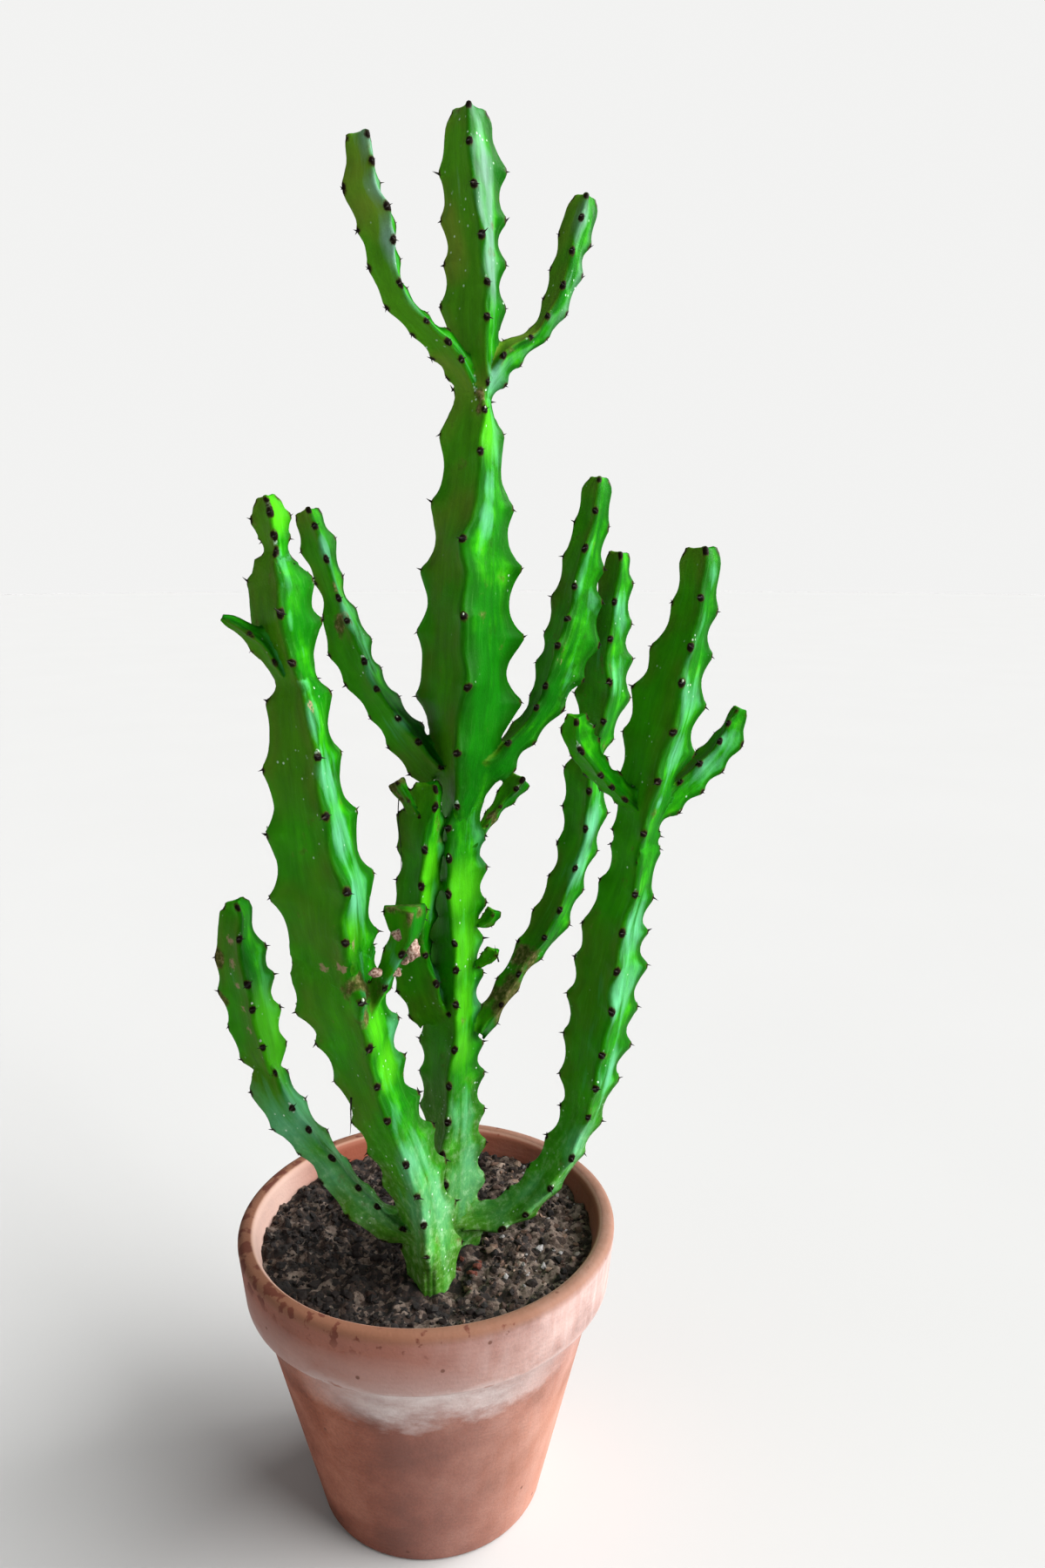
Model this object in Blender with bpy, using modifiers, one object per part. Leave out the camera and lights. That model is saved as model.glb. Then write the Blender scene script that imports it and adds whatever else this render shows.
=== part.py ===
"""Potted euphorbia: a candelabra of three-winged, toothed stems that stand in soil in a clay flowerpot.

The origin is the centre of the pot's underside, +Z is up, and the plant's front faces -Y. Lengths are in metres.
The plant has two rooted stems: the tall trunk with its arms, and a shorter stem in front of it, to its left.
"""
import math
from collections import namedtuple

import bmesh
import bpy
from mathutils import Vector, noise

MM = 0.001

# Pot: a thrown taper with a deep collar, and three drain holes round the middle of its floor
POT_HEIGHT = 155 * MM
RIM_RADIUS = 96.5 * MM
RIM_ROUNDING = 3.5 * MM
COLLAR_HEIGHT = 33 * MM
COLLAR_FOOT_RADIUS = 93 * MM
BODY_TOP_RADIUS = 87 * MM
BASE_RADIUS = 58 * MM
MOUTH_RADIUS = 88 * MM
FLOOR_INNER_RADIUS = 53.5 * MM
FLOOR_THICKNESS = 9 * MM
DRAIN_RADIUS = 5 * MM
DRAIN_CIRCLE_RADIUS = 30 * MM
DRAIN_COUNT = 3
TURNED_SIDES = 48

# Soil: fills the pot to a little under its rim, with a lumpy top
SOIL_LEVEL = 143 * MM
SOIL_LUMP_HEIGHT = 1.8 * MM
SOIL_LUMP_SPAN = 17 * MM
SOIL_TOP_RINGS = 7
GAP = 0.3 * MM

# Stems: the wings' cross-section, as shares of the reach from the centre line to a tooth's tip
WINGS = 3
FLANK_SHARE = 0.74
FLANK_HALF_SHARE = 0.11
FLANK_HALF_LEAST = 0.9 * MM
NOTCH_SHARE = 0.23
NOTCH_LEAST = 0.6 * MM
FRONT_TOOTH_PHASE = 0.4
RING_PHASES = (0.0, FRONT_TOOTH_PHASE, 0.7)
END_CLEARANCE = 1.6 * MM
PATH_SAMPLES = 12

# Feet: each rooted stem goes down into the soil as a plain round peg
FOOT_DEPTH = 48 * MM
FOOT_ABOVE_SOIL = 3.5 * MM

# Spines: a splayed pair on a tooth
SPINE_LENGTH = 3.6 * MM
SPINE_ROOT = 1.6 * MM
SPINE_RADIUS = 0.55 * MM
SPINE_SPLAY = math.radians(32)
SPINE_EVERY = 3

# A shoot's spacing is its teeth's, its first is how far up the first pair of side teeth sits, and its turn is where
# its front wing points at its two ends, in degrees from -Y towards +X. Its path goes up its centre line, as x, y, z
# and reach in millimetres.
Shoot = namedtuple("Shoot", "name spacing first turn path")

TRUNK_SHOOTS = (
    Shoot("lower_trunk", 18, 8, (0, -18), (
        (14, -8, 150, 12), (14, -7, 164, 15), (13, -4, 225, 18.5), (15, 0, 293, 17.5), (17, 2, 337, 16),
        (19, 4, 372, 13))),
    Shoot("middle_trunk", 31.5, 26, (-6, 8), (
        (19, 4, 362, 12), (21, 5, 386, 23), (23, 6, 426, 30), (25, 8, 483, 27.5), (28, 10, 519, 21),
        (28.5, 12, 542, 18), (29, 13, 563, 12))),
    Shoot("upper_trunk", 19.5, 6, (12, 0), (
        (29, 13, 554, 11), (30, 14, 573, 14), (30, 15, 596, 18), (30, 15, 618, 16.5), (29, 16, 636, 17),
        (28, 17, 658, 17.5), (27, 17, 672, 15.5), (27, 17, 681, 11))),
    Shoot("top_left_arm", 17, 10, (-8, -8), (
        (27, 12, 563, 8), (18, 2, 576, 9.5), (6, -10, 585, 7), (-5, -20, 595, 8), (-12, -26, 607, 9.5),
        (-14, -29, 622, 11), (-17, -31, 634, 10.5), (-19, -32, 645, 10), (-20, -33, 653, 7))),
    Shoot("top_right_arm", 19, 10, (-17, -17), (
        (31, 13, 562, 8), (44, 19, 579, 10), (58, 27, 589, 6.5), (68, 33, 602, 9), (73, 37, 618, 11),
        (77, 40, 633, 11), (81, 42, 645, 10.5), (83, 43, 652, 8))),
    Shoot("middle_left_arm", 17, 10, (-11, -11), (
        (10, 8, 384, 12), (-3, 12, 399, 12.5), (-14.5, 18, 414, 10.5), (-26, 24, 431, 11.5),
        (-34, 29, 451, 13), (-40, 33, 470, 7.5), (-46, 36, 491, 10.5), (-50, 38, 503, 9), (-52, 39, 509, 8))),
    Shoot("middle_right_arm", 18, 10, (-30, -8), (
        (33, 8, 385, 13), (45, 14, 397, 9), (60, 22, 413, 10), (69, 28, 432, 15), (76, 32, 451, 17),
        (80, 34, 474, 13.5), (83, 34, 489, 12), (87, 35, 504, 10), (89, 35, 518, 10), (90, 35, 525, 6))),
    Shoot("back_arm", 20, 10, (-4, -4), (
        (26, 5, 251, 9.5), (38, 12, 264, 7.5), (51, 20, 282, 8), (65, 27, 299, 12), (77, 33, 324, 11.5),
        (85, 38, 351, 13.5), (87, 42, 376, 14), (90, 44, 389, 10), (96, 46, 416, 17), (97, 47, 439, 15.5),
        (100, 48, 461, 12), (102, 48, 478, 10), (103, 48, 489, 7))),
    Shoot("inner_left_arm", 19, 8, (0, -10), (
        (5, 0, 261, 12), (-3, -8, 281, 12), (-7, -12, 302, 11), (-5, -13, 324, 10), (-1, -13, 346, 10),
        (-1, -13, 365, 13), (-1, -13, 377, 13), (-1, -13, 382, 10))),
    Shoot("inner_right_shoot", 10, 5, (0, 0), (
        (27, 5, 351, 6), (34, 12, 360, 6.5), (41, 18, 368, 8), (47, 22, 374, 8), (49, 23, 377, 6))),
    Shoot("right_side_low_bud", 5, 3, (0, 0), (
        (27, 2, 288, 3), (33, 1, 292, 4.5), (37, 1, 296, 3))),
    Shoot("right_side_high_bud", 5, 3, (0, 0), (
        (27, 3, 308, 3), (33, 2, 312, 4.5), (37, 2, 316, 3))),
    Shoot("right_arm", 20, 10, (-2, 4), (
        (18, -9, 159, 9), (36, -14, 161, 10.5), (52, -16, 171, 11.5), (66, -18, 190, 12.5),
        (77, -19, 214, 13), (81.5, -20, 237, 18), (86.5, -21, 267, 20.5), (90.5, -22, 296, 20.5),
        (93, -23, 316, 18), (99, -24, 338, 15), (101, -25, 355, 14.5))),
    Shoot("right_arm_upper", 22, 10, (0, 0), (
        (99, -25, 349, 12), (103, -26, 370, 16), (108, -27, 393, 19), (114, -28, 419, 21),
        (118, -29, 439, 17.5), (123, -30, 459, 13), (125, -30, 470, 12), (126, -31, 482, 12.5),
        (126, -31, 491, 9.5))),
    Shoot("right_arm_inner_fork", 12, 6, (-10, -10), (
        (99, -28, 375, 7), (84, -37, 389, 7), (75, -44, 400, 8), (69, -48, 411, 9), (68, -50, 420, 6))),
    Shoot("right_arm_outer_fork", 14, 6, (-35, -35), (
        (102, -24, 364, 8), (121, -17, 379, 9), (135, -11, 390, 9.5), (146, -7, 401, 9), (151, -5, 411, 6.5),
        (153, -5, 416, 4.5))),
)

FRONT_SHOOTS = (
    Shoot("front_stem", 16, 8, (0, 16), (
        (3, -42, 150, 9.5), (2, -42, 164, 13), (0, -42, 176, 16), (-7, -44, 204, 19), (-16, -47, 230, 19.5),
        (-23.5, -49, 253, 19.5), (-29.5, -52, 280, 23.5), (-35, -54, 302, 26.5), (-36, -55, 319, 21))),
    Shoot("front_stem_middle", 29, 10, (8, 8), (
        (-35, -55, 304, 16), (-38, -56, 327, 25), (-40, -57, 351, 27), (-44, -58, 378, 23),
        (-47, -59, 405, 19.5), (-48, -60, 427, 16.5), (-49, -60, 438, 11.5))),
    Shoot("front_stem_upper", 20, 8, (6, 6), (
        (-49, -60, 430, 9), (-51, -60, 445, 13), (-54, -61, 463, 18), (-55, -61, 477, 15.5),
        (-56, -62, 484, 12.5), (-56, -62, 489, 8))),
    Shoot("front_stem_tip", 9, 5, (6, 6), (
        (-55, -62, 480, 6.5), (-55.5, -62, 491, 6.5), (-57, -62, 501, 9), (-58, -62, 507, 8),
        (-59, -62, 511, 5))),
    Shoot("front_stem_bud", 14, 30, (0, 0), (
        (-55, -60, 440, 6), (-62, -63, 453, 7), (-70, -66, 460, 4.5), (-75, -68, 463, 3), (-77, -69, 464, 2))),
    Shoot("cut_arm", 14, 8, (0, 0), (
        (-25, -56, 290, 7), (-17, -63, 308, 8), (-11, -66, 324, 9), (-7, -67, 335, 10), (-7, -67, 341, 9.5))),
    Shoot("low_left_arm", 18, 20, (50, 30), (
        (0, -40, 166, 9), (-21, -33, 173, 10.5), (-36, -28, 186, 10.5), (-49, -25, 204, 9.5), (-61, -22, 219, 11.5),
        (-71, -19, 234, 12.5), (-76, -17, 248, 10))),
    Shoot("low_left_arm_upper", 17, 10, (14, 14), (
        (-74, -17, 244, 9), (-78, -15, 257, 14), (-82, -13, 274, 15), (-85, -12, 294, 15.5), (-87.5, -11, 311, 12),
        (-87, -10, 323, 9.5), (-88, -10, 328, 6))),
)


def clear_scene():
    for thing in list(bpy.data.objects):
        bpy.data.objects.remove(thing, do_unlink=True)


def new_collection(name):
    collection = bpy.data.collections.new(name)
    bpy.context.scene.collection.children.link(collection)
    return collection


def finish_material(name, colour, roughness):
    """One Principled surface, its colour given in linear light."""
    material = bpy.data.materials.new(name)
    material.use_nodes = True
    shader = material.node_tree.nodes["Principled BSDF"]
    shader.inputs["Base Color"].default_value = (*colour, 1)
    shader.inputs["Roughness"].default_value = roughness
    shader.inputs["Metallic"].default_value = 0
    return material


def object_from(bm, name, collection, material=None):
    mesh = bpy.data.meshes.new(name)
    bm.to_mesh(mesh)
    bm.free()
    thing = bpy.data.objects.new(name, mesh)
    collection.objects.link(thing)
    if material:
        mesh.materials.append(material)
    return thing


def turned(name, profile, collection, material):
    """A solid of revolution about Z. The profile goes up the inside, over the top and down the outside."""
    bm = bmesh.new()
    corners = [bm.verts.new((radius, 0, height)) for radius, height in profile]
    for lower, upper in zip(corners, corners[1:]):
        bm.edges.new((lower, upper))
    thing = object_from(bm, name, collection, material)
    screw = thing.modifiers.new("turn", "SCREW")
    screw.steps = TURNED_SIDES
    screw.render_steps = TURNED_SIDES
    screw.use_merge_vertices = True
    screw.merge_threshold = 0.00005
    return thing


def apply_modifiers(thing):
    """Puts the evaluated shape in the object's own mesh."""
    evaluated = thing.evaluated_get(bpy.context.evaluated_depsgraph_get())
    mesh = bpy.data.meshes.new_from_object(evaluated)
    thing.modifiers.clear()
    old = thing.data
    thing.data = mesh
    bpy.data.meshes.remove(old)


def shade(thing, angle):
    thing.data.shade_smooth()
    thing.data.set_sharp_from_angle(angle=math.radians(angle))


def cut(thing, cutter):
    cutter.hide_render = True
    cutter.display_type = "WIRE"
    boolean = thing.modifiers.new(cutter.name, "BOOLEAN")
    boolean.operation = "DIFFERENCE"
    boolean.object = cutter


def inner_radius(height):
    """The pot's inner wall, a straight taper from its floor to its mouth."""
    share = (height - FLOOR_THICKNESS) / (POT_HEIGHT - FLOOR_THICKNESS)
    return FLOOR_INNER_RADIUS + share * (MOUTH_RADIUS - FLOOR_INNER_RADIUS)


def pot_profile():
    """Half the pot's section: up the inside, over a round rim, down the collar, under it and down the body."""
    collar_foot = POT_HEIGHT - COLLAR_HEIGHT
    rim_middle = (RIM_RADIUS + MOUTH_RADIUS) / 2
    rim_half = (RIM_RADIUS - MOUTH_RADIUS) / 2
    profile = [(0, FLOOR_THICKNESS), (FLOOR_INNER_RADIUS, FLOOR_THICKNESS)]
    for step in range(7):
        angle = math.pi - step * math.pi / 6
        profile.append((rim_middle + rim_half * math.cos(angle),
                        POT_HEIGHT - RIM_ROUNDING + RIM_ROUNDING * math.sin(angle)))
    profile += [
        (COLLAR_FOOT_RADIUS, collar_foot + 2 * MM),
        (COLLAR_FOOT_RADIUS - 1.5 * MM, collar_foot),
        (BODY_TOP_RADIUS, collar_foot - 1 * MM),
        (BASE_RADIUS + 1 * MM, 2 * MM),
        (BASE_RADIUS - 1 * MM, 0),
        (0, 0),
    ]
    return profile


def make_pot(parts, cutters, material):
    pot = turned("pot", pot_profile(), parts, material)
    for hole in range(DRAIN_COUNT):
        angle = math.radians(90) + hole * math.tau / DRAIN_COUNT
        bm = bmesh.new()
        bmesh.ops.create_cone(bm, cap_ends=True, segments=16, radius1=DRAIN_RADIUS, radius2=DRAIN_RADIUS,
                              depth=3 * FLOOR_THICKNESS)
        drain = object_from(bm, f"drain_{hole + 1}", cutters)
        drain.location = (DRAIN_CIRCLE_RADIUS * math.cos(angle), DRAIN_CIRCLE_RADIUS * math.sin(angle), 0)
        cut(pot, drain)
    return pot


def make_soil(parts, material):
    """A plug that fills the pot, with its top raised and sunk by smooth noise."""
    bottom = FLOOR_THICKNESS + GAP
    edge = inner_radius(SOIL_LEVEL) - GAP
    profile = [(edge * ring / SOIL_TOP_RINGS, SOIL_LEVEL) for ring in range(SOIL_TOP_RINGS + 1)]
    profile += [(inner_radius(bottom) - GAP, bottom), (0, bottom)]
    soil = turned("soil", profile, parts, material)
    apply_modifiers(soil)
    for vertex in soil.data.vertices:
        x, y, z = vertex.co
        if z > SOIL_LEVEL - MM and math.hypot(x, y) < edge - MM:
            vertex.co.z += SOIL_LUMP_HEIGHT * noise.noise(vertex.co / SOIL_LUMP_SPAN)
    return soil


def between(a, b, c, d, share):
    """A point on the smooth curve from b to c, where a and d are the points on either side."""
    return 0.5 * (2 * b + (c - a) * share + (2 * a - 5 * b + 4 * c - d) * share ** 2
                  + (3 * b - a - 3 * c + d) * share ** 3)


class CentreLine:
    """The smooth line up the middle of a shoot, with its reach, measured along its length."""

    def __init__(self, path):
        knots = [Vector(point) * MM for point in path]
        knots = [2 * knots[0] - knots[1]] + knots + [2 * knots[-1] - knots[-2]]
        self.samples = [between(*knots[i:i + 4], step / PATH_SAMPLES)
                        for i in range(len(knots) - 3) for step in range(PATH_SAMPLES)]
        self.samples.append(knots[-2])
        self.marks = [0.0]
        for low, high in zip(self.samples, self.samples[1:]):
            self.marks.append(self.marks[-1] + (high.xyz - low.xyz).length)
        self.length = self.marks[-1]

    def at(self, distance):
        """The place, reach and upward direction at a distance from the root."""
        distance = min(max(distance, 0.0), self.length)
        i = max(k for k, mark in enumerate(self.marks[:-1]) if mark <= distance)
        share = (distance - self.marks[i]) / (self.marks[i + 1] - self.marks[i])
        here = self.samples[i].lerp(self.samples[i + 1], share)
        along = self.samples[i + 1].xyz - self.samples[i].xyz
        return here.xyz, here.w, along.normalized()


def wing_frame(shoot, line, distance):
    """The place and reach, with directions to the front wing, to its side and along the shoot."""
    place, reach, along = line.at(distance)
    turn = math.radians(shoot.turn[0] + (shoot.turn[1] - shoot.turn[0]) * distance / line.length)
    front = Vector((math.sin(turn), -math.cos(turn), 0))
    front = (front - front.dot(along) * along).normalized()
    return place, reach, front, along.cross(front), along


def tooth_phase(shoot, distance, wing):
    """0 at a tooth's tip, rising to 1 at the next one up. The front wing's teeth sit between the side wings'."""
    return (distance / MM - shoot.first) / shoot.spacing - (FRONT_TOOTH_PHASE if wing == 0 else 0.0)


def crest(shoot, reach, distance, wing):
    """How far a wing stands out, between its teeth's tips and the hollow curves between them."""
    phase = tooth_phase(shoot, distance, wing) % 1.0
    return reach - (NOTCH_LEAST + NOTCH_SHARE * reach) * math.sin(math.pi * phase) ** 0.8


def section(shoot, line, distance):
    """Nine points round the shoot: each wing's tip and its two flanks, with a flat face from wing to wing."""
    place, reach, front, side, along = wing_frame(shoot, line, distance)
    half = FLANK_HALF_LEAST + FLANK_HALF_SHARE * reach
    points = []
    for wing in range(WINGS):
        angle = wing * math.tau / WINGS
        tip = crest(shoot, reach, distance, wing)
        out = front * math.cos(angle) + side * math.sin(angle)
        across = side * math.cos(angle) - front * math.sin(angle)
        points += [
            place + out * (FLANK_SHARE * tip) - across * half,
            place + out * tip,
            place + out * (FLANK_SHARE * tip) + across * half,
        ]
    return points


def foot_ring(foot, height, radius):
    """A level round ring of the foot, its corners turned as a section's are."""
    points = []
    for wing in range(WINGS):
        for step in (-1, 0, 1):
            angle = -math.pi / 2 + wing * math.tau / WINGS + step * math.tau / (3 * WINGS)
            points.append(Vector((foot.x + radius * math.cos(angle), foot.y + radius * math.sin(angle), height)))
    return points


def loft(rings):
    """A closed skin through the rings, from the lowest to the highest."""
    bm = bmesh.new()
    corners = bmesh.ops.create_circle(bm, cap_ends=False, segments=len(rings[0]), radius=MM)["verts"]
    for corner, point in zip(corners, rings[0]):
        corner.co = point
    for ring in rings[1:]:
        edges = [bm.edges.get((a, b)) for a, b in zip(corners, corners[1:] + corners[:1])]
        grown = set(bmesh.ops.extrude_edge_only(bm, edges=edges)["geom"])
        corners = [next(edge.other_vert(corner) for edge in corner.link_edges if edge.other_vert(corner) in grown)
                   for corner in corners]
        for corner, point in zip(corners, ring):
            corner.co = point
    bmesh.ops.holes_fill(bm, edges=bm.edges, sides=len(corners))
    bmesh.ops.triangulate(bm, faces=bm.faces)
    bmesh.ops.recalc_face_normals(bm, faces=bm.faces)
    return bm


def ring_distances(shoot, line):
    """Where the rings go: at each wing's teeth, in the notches between them, and at both ends."""
    count = int(line.length / MM / shoot.spacing) + 2
    distances = [(shoot.first + (turn + phase) * shoot.spacing) * MM
                 for turn in range(-count, count) for phase in RING_PHASES]
    inside = [d for d in sorted(distances) if END_CLEARANCE < d < line.length - END_CLEARANCE]
    return [0.0] + inside + [line.length]


def make_shoot(shoot, collection, rooted=False):
    line = CentreLine(shoot.path)
    rings = [section(shoot, line, distance) for distance in ring_distances(shoot, line)]
    if rooted:
        foot, radius, _ = line.at(0)
        rings = [foot_ring(foot, SOIL_LEVEL - FOOT_DEPTH, radius),
                 foot_ring(foot, SOIL_LEVEL + FOOT_ABOVE_SOIL, radius)] + rings[1:]
    return object_from(loft(rings), shoot.name, collection)


def make_spines(shoot, collection):
    """Splayed pairs of thorns on the teeth of all three wings."""
    line = CentreLine(shoot.path)
    teeth = [(turn, wing) for turn in range(int(line.length / MM / shoot.spacing) + 1) for wing in range(WINGS)]
    for number, (turn, wing) in enumerate(teeth):
        distance = (shoot.first + (turn + (FRONT_TOOTH_PHASE if wing == 0 else 0.0)) * shoot.spacing) * MM
        if not END_CLEARANCE < distance < line.length - END_CLEARANCE or (turn + wing) % SPINE_EVERY:
            continue
        place, reach, front, side, along = wing_frame(shoot, line, distance)
        angle = wing * math.tau / WINGS
        out = front * math.cos(angle) + side * math.sin(angle)
        across = side * math.cos(angle) - front * math.sin(angle)
        for splay in (-SPINE_SPLAY, SPINE_SPLAY):
            aim = out * math.cos(splay) + across * math.sin(splay)
            bm = bmesh.new()
            bmesh.ops.create_cone(bm, cap_ends=True, segments=3, radius1=SPINE_RADIUS, radius2=0,
                                  depth=SPINE_LENGTH + SPINE_ROOT)
            bmesh.ops.translate(bm, vec=(0, 0, (SPINE_LENGTH + SPINE_ROOT) / 2), verts=bm.verts)
            turn_to = aim.to_track_quat("Z", "Y").to_matrix()
            bmesh.ops.rotate(bm, cent=(0, 0, 0), matrix=turn_to, verts=bm.verts)
            bmesh.ops.translate(bm, vec=place + out * (reach - SPINE_ROOT), verts=bm.verts)
            object_from(bm, f"{shoot.name}_spine_{number}", collection)


def make_plant(name, shoots, parts, material):
    """The first shoot is the rooted one. The others and all the spines are joined to it in one body."""
    plant = make_shoot(shoots[0], parts, rooted=True)
    plant.name = name
    plant.data.materials.append(material)
    grown = new_collection(name + "_shoots")
    for shoot in shoots[1:]:
        make_shoot(shoot, grown)
    for shoot in shoots:
        make_spines(shoot, grown)
    join = plant.modifiers.new("join", "BOOLEAN")
    join.operation = "UNION"
    join.operand_type = "COLLECTION"
    join.collection = grown
    apply_modifiers(plant)
    for thing in list(grown.objects):
        bpy.data.objects.remove(thing, do_unlink=True)
    bpy.data.collections.remove(grown)
    shade(plant, 35)
    return plant


def cut_foot_hole(soil, shoots, cutters):
    """The plain hole that a rooted stem stands in."""
    foot = Vector(shoots[0].path[0]) * MM
    rings = [foot_ring(foot.xyz, SOIL_LEVEL - FOOT_DEPTH - GAP, foot.w + GAP),
             foot_ring(foot.xyz, SOIL_LEVEL + FOOT_DEPTH, foot.w + GAP)]
    hole = object_from(loft(rings), shoots[0].name + "_hole", cutters)
    cut(soil, hole)


def main():
    clear_scene()
    parts = new_collection("potted_euphorbia")
    cutters = new_collection("cutters")
    terracotta = finish_material("terracotta", (0.46, 0.13, 0.06), 0.85)
    earth = finish_material("potting_soil", (0.03, 0.018, 0.012), 0.95)
    skin = finish_material("green_stem", (0.035, 0.24, 0.02), 0.45)

    pot = make_pot(parts, cutters, terracotta)
    soil = make_soil(parts, earth)
    make_plant("trunk", TRUNK_SHOOTS, parts, skin)
    make_plant("front_stem", FRONT_SHOOTS, parts, skin)
    for shoots in (TRUNK_SHOOTS, FRONT_SHOOTS):
        cut_foot_hole(soil, shoots, cutters)
    apply_modifiers(pot)
    apply_modifiers(soil)
    shade(pot, 35)
    shade(soil, 35)


main()
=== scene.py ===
"""Dresses the potted euphorbia: grows its fine skin, spines, scars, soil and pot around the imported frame.

Every size is in metres in the frame's own axes: the origin is the centre of the pot's underside, +Z is up,
and the plant's front faces -Y.
"""
import bisect
import math
import random
from collections import namedtuple
from functools import partial

import bmesh
import bpy
from bpy.props import FloatProperty, IntProperty, PointerProperty, StringProperty
from mathutils import Matrix, Vector, kdtree, noise
import numpy as np


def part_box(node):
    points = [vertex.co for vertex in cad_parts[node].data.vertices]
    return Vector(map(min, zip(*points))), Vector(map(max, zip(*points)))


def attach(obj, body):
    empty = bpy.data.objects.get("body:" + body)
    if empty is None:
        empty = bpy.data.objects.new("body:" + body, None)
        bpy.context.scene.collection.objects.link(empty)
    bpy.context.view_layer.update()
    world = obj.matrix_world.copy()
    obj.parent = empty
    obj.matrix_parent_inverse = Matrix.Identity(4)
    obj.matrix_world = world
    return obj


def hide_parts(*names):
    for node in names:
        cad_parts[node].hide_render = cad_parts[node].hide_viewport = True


bl_info = {
    "name": "Potted Euphorbia",
    "version": (1, 0, 0),
    "blender": (4, 5, 0),
    "location": "3D View > Sidebar > Euphorbia",
    "description": "Builds a potted euphorbia with toothed, spiny stems over its packed frame",
    "category": "Add Mesh",
}

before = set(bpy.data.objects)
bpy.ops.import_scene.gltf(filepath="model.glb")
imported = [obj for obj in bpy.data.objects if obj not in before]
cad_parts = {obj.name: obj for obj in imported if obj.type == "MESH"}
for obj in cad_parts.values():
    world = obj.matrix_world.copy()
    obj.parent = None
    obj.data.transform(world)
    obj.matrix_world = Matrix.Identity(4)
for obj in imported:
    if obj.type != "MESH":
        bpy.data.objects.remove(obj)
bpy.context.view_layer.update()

MM = 0.001
NOISE_SEED = 5
POT_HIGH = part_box("pot")[1]

# Pot, worked out from its packed box
POT_HEIGHT = POT_HIGH.z
RIM_RADIUS = POT_HIGH.x
RIM_ROUNDING = 3.5 * MM
COLLAR_HEIGHT = 33 * MM
COLLAR_FOOT_RADIUS = RIM_RADIUS - 3.5 * MM
BODY_TOP_RADIUS = RIM_RADIUS - 9.5 * MM
BASE_RADIUS = 58 * MM
MOUTH_RADIUS = RIM_RADIUS - 8.5 * MM
FLOOR_INNER_RADIUS = 53.5 * MM
FLOOR_THICKNESS = 9 * MM
DRAIN_RADIUS = 5 * MM
DRAIN_CIRCLE_RADIUS = 30 * MM
DRAIN_COUNT = 3
SOIL_LEVEL = 143 * MM
POT_WAVE = 45 * MM
POT_WAVE_HEIGHT = 0.35 * MM

# Soil: its grain, one hollow, a place strewn with reddish bark, and the shapes of crumbs
SOIL_GAP = 0.3 * MM
SOIL_RINGS = 92
SOIL_SIDES = 260
SOIL_HOLLOW = Vector((12, -48, 0)) * MM
BARK_PLACE = Vector((20, -30)) * MM
BARK_RADIUS = 9 * MM
BARK_SIZE = 1.8 * MM
BARK_SHARE = 0.75
CRUMB_SPANS = ((0.8, 1.5), (0.7, 1.0), (0.5, 0.85))

# Stage: the floor in metres, and where the camera stands and how it is turned, in degrees
FLOOR_RADIUS = 14
CAMERA_PLACE = (0, -0.532, 0.490)
CAMERA_TURNS = (78.38, 0, -5.27)

# Wings: the stem's section, as shares of the reach from the centre line to a tooth's tip
WINGS = 3
HOLLOW_SHARE = 0.43
FACE_CURVE = 1.15
NOTCH_SHARE = 0.22
FULL_NOTCH_SPACING = 24
NOTCH_OF_WING = (1.0, 1.1, 0.72)
FLAT_FOOT = 22 * MM
NOTCH_LEAST = 0.6 * MM
FRONT_TOOTH_PHASE = 0.4
TOOTH_SPREAD = 3.0 * MM
TOOTH_FLAT = 1.5 * MM
TOOTH_LEAN = 0.86
PATH_SAMPLES = 12
GROWTH_STEP = 0.8 * MM
FACE_STOPS = (0.3, 0.55, 0.78, 0.93)
FOOT_DEPTH = 48 * MM

# Marks on the skin: a wing's edge, the horn caps of teeth and the white frost of a leaf's scar above a tooth,
# which also stands as a painted glint, and how far one shoot's pattern is shifted from the next one's
EDGE_SHARE = 0.45
FULL_TOOTH_REACH = 8 * MM
TOOTH_CAP_RADIUS = 3.4 * MM
FROST_GLINT_HEIGHT = 2.8 * MM
FROST_GLINT_RADIUS = 3.4 * MM
FROST_GLINT_NARROWING = 1.3
SHOOT_OFFSET = 0.37

# Spines: where none stand, how large their scales and the leaf scars (also painted glints) are in
# millimetres, how lumps vary
BARE_FOOT = 1.6 * MM
BARE_TOP = 1.2 * MM
BARE_COLLAR = 3 * MM
BURIED_TIP = 1.6 * MM
FULL_SPINE_REACH = 22 * MM
SCALE_RADII = (1.1, 0.6, 0.4)
LEAF_SCAR_GLINT_RADII = (0.6, 1.0, 0.3)
LEAF_SCAR_GLINT_HEIGHT = 3.4 * MM
LEAF_SCAR_GLINT_SHARE = 0.06
LEAF_SCAR_GLINT_REACH = 10 * MM
LUMP_UNEVENNESS = 0.26
CALLUS_LUMP = 2.2 * MM
THREAD_STEPS = 12

# A shoot's spacing is its teeth's, its first is how far up the first pair of side teeth sits, and its turn is
# where its front wing points at even steps along it, in degrees from -Y towards +X. Its path goes up its
# centre line, as x, y, z and reach in millimetres.
Shoot = namedtuple("Shoot", "name spacing first turn path")

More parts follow.
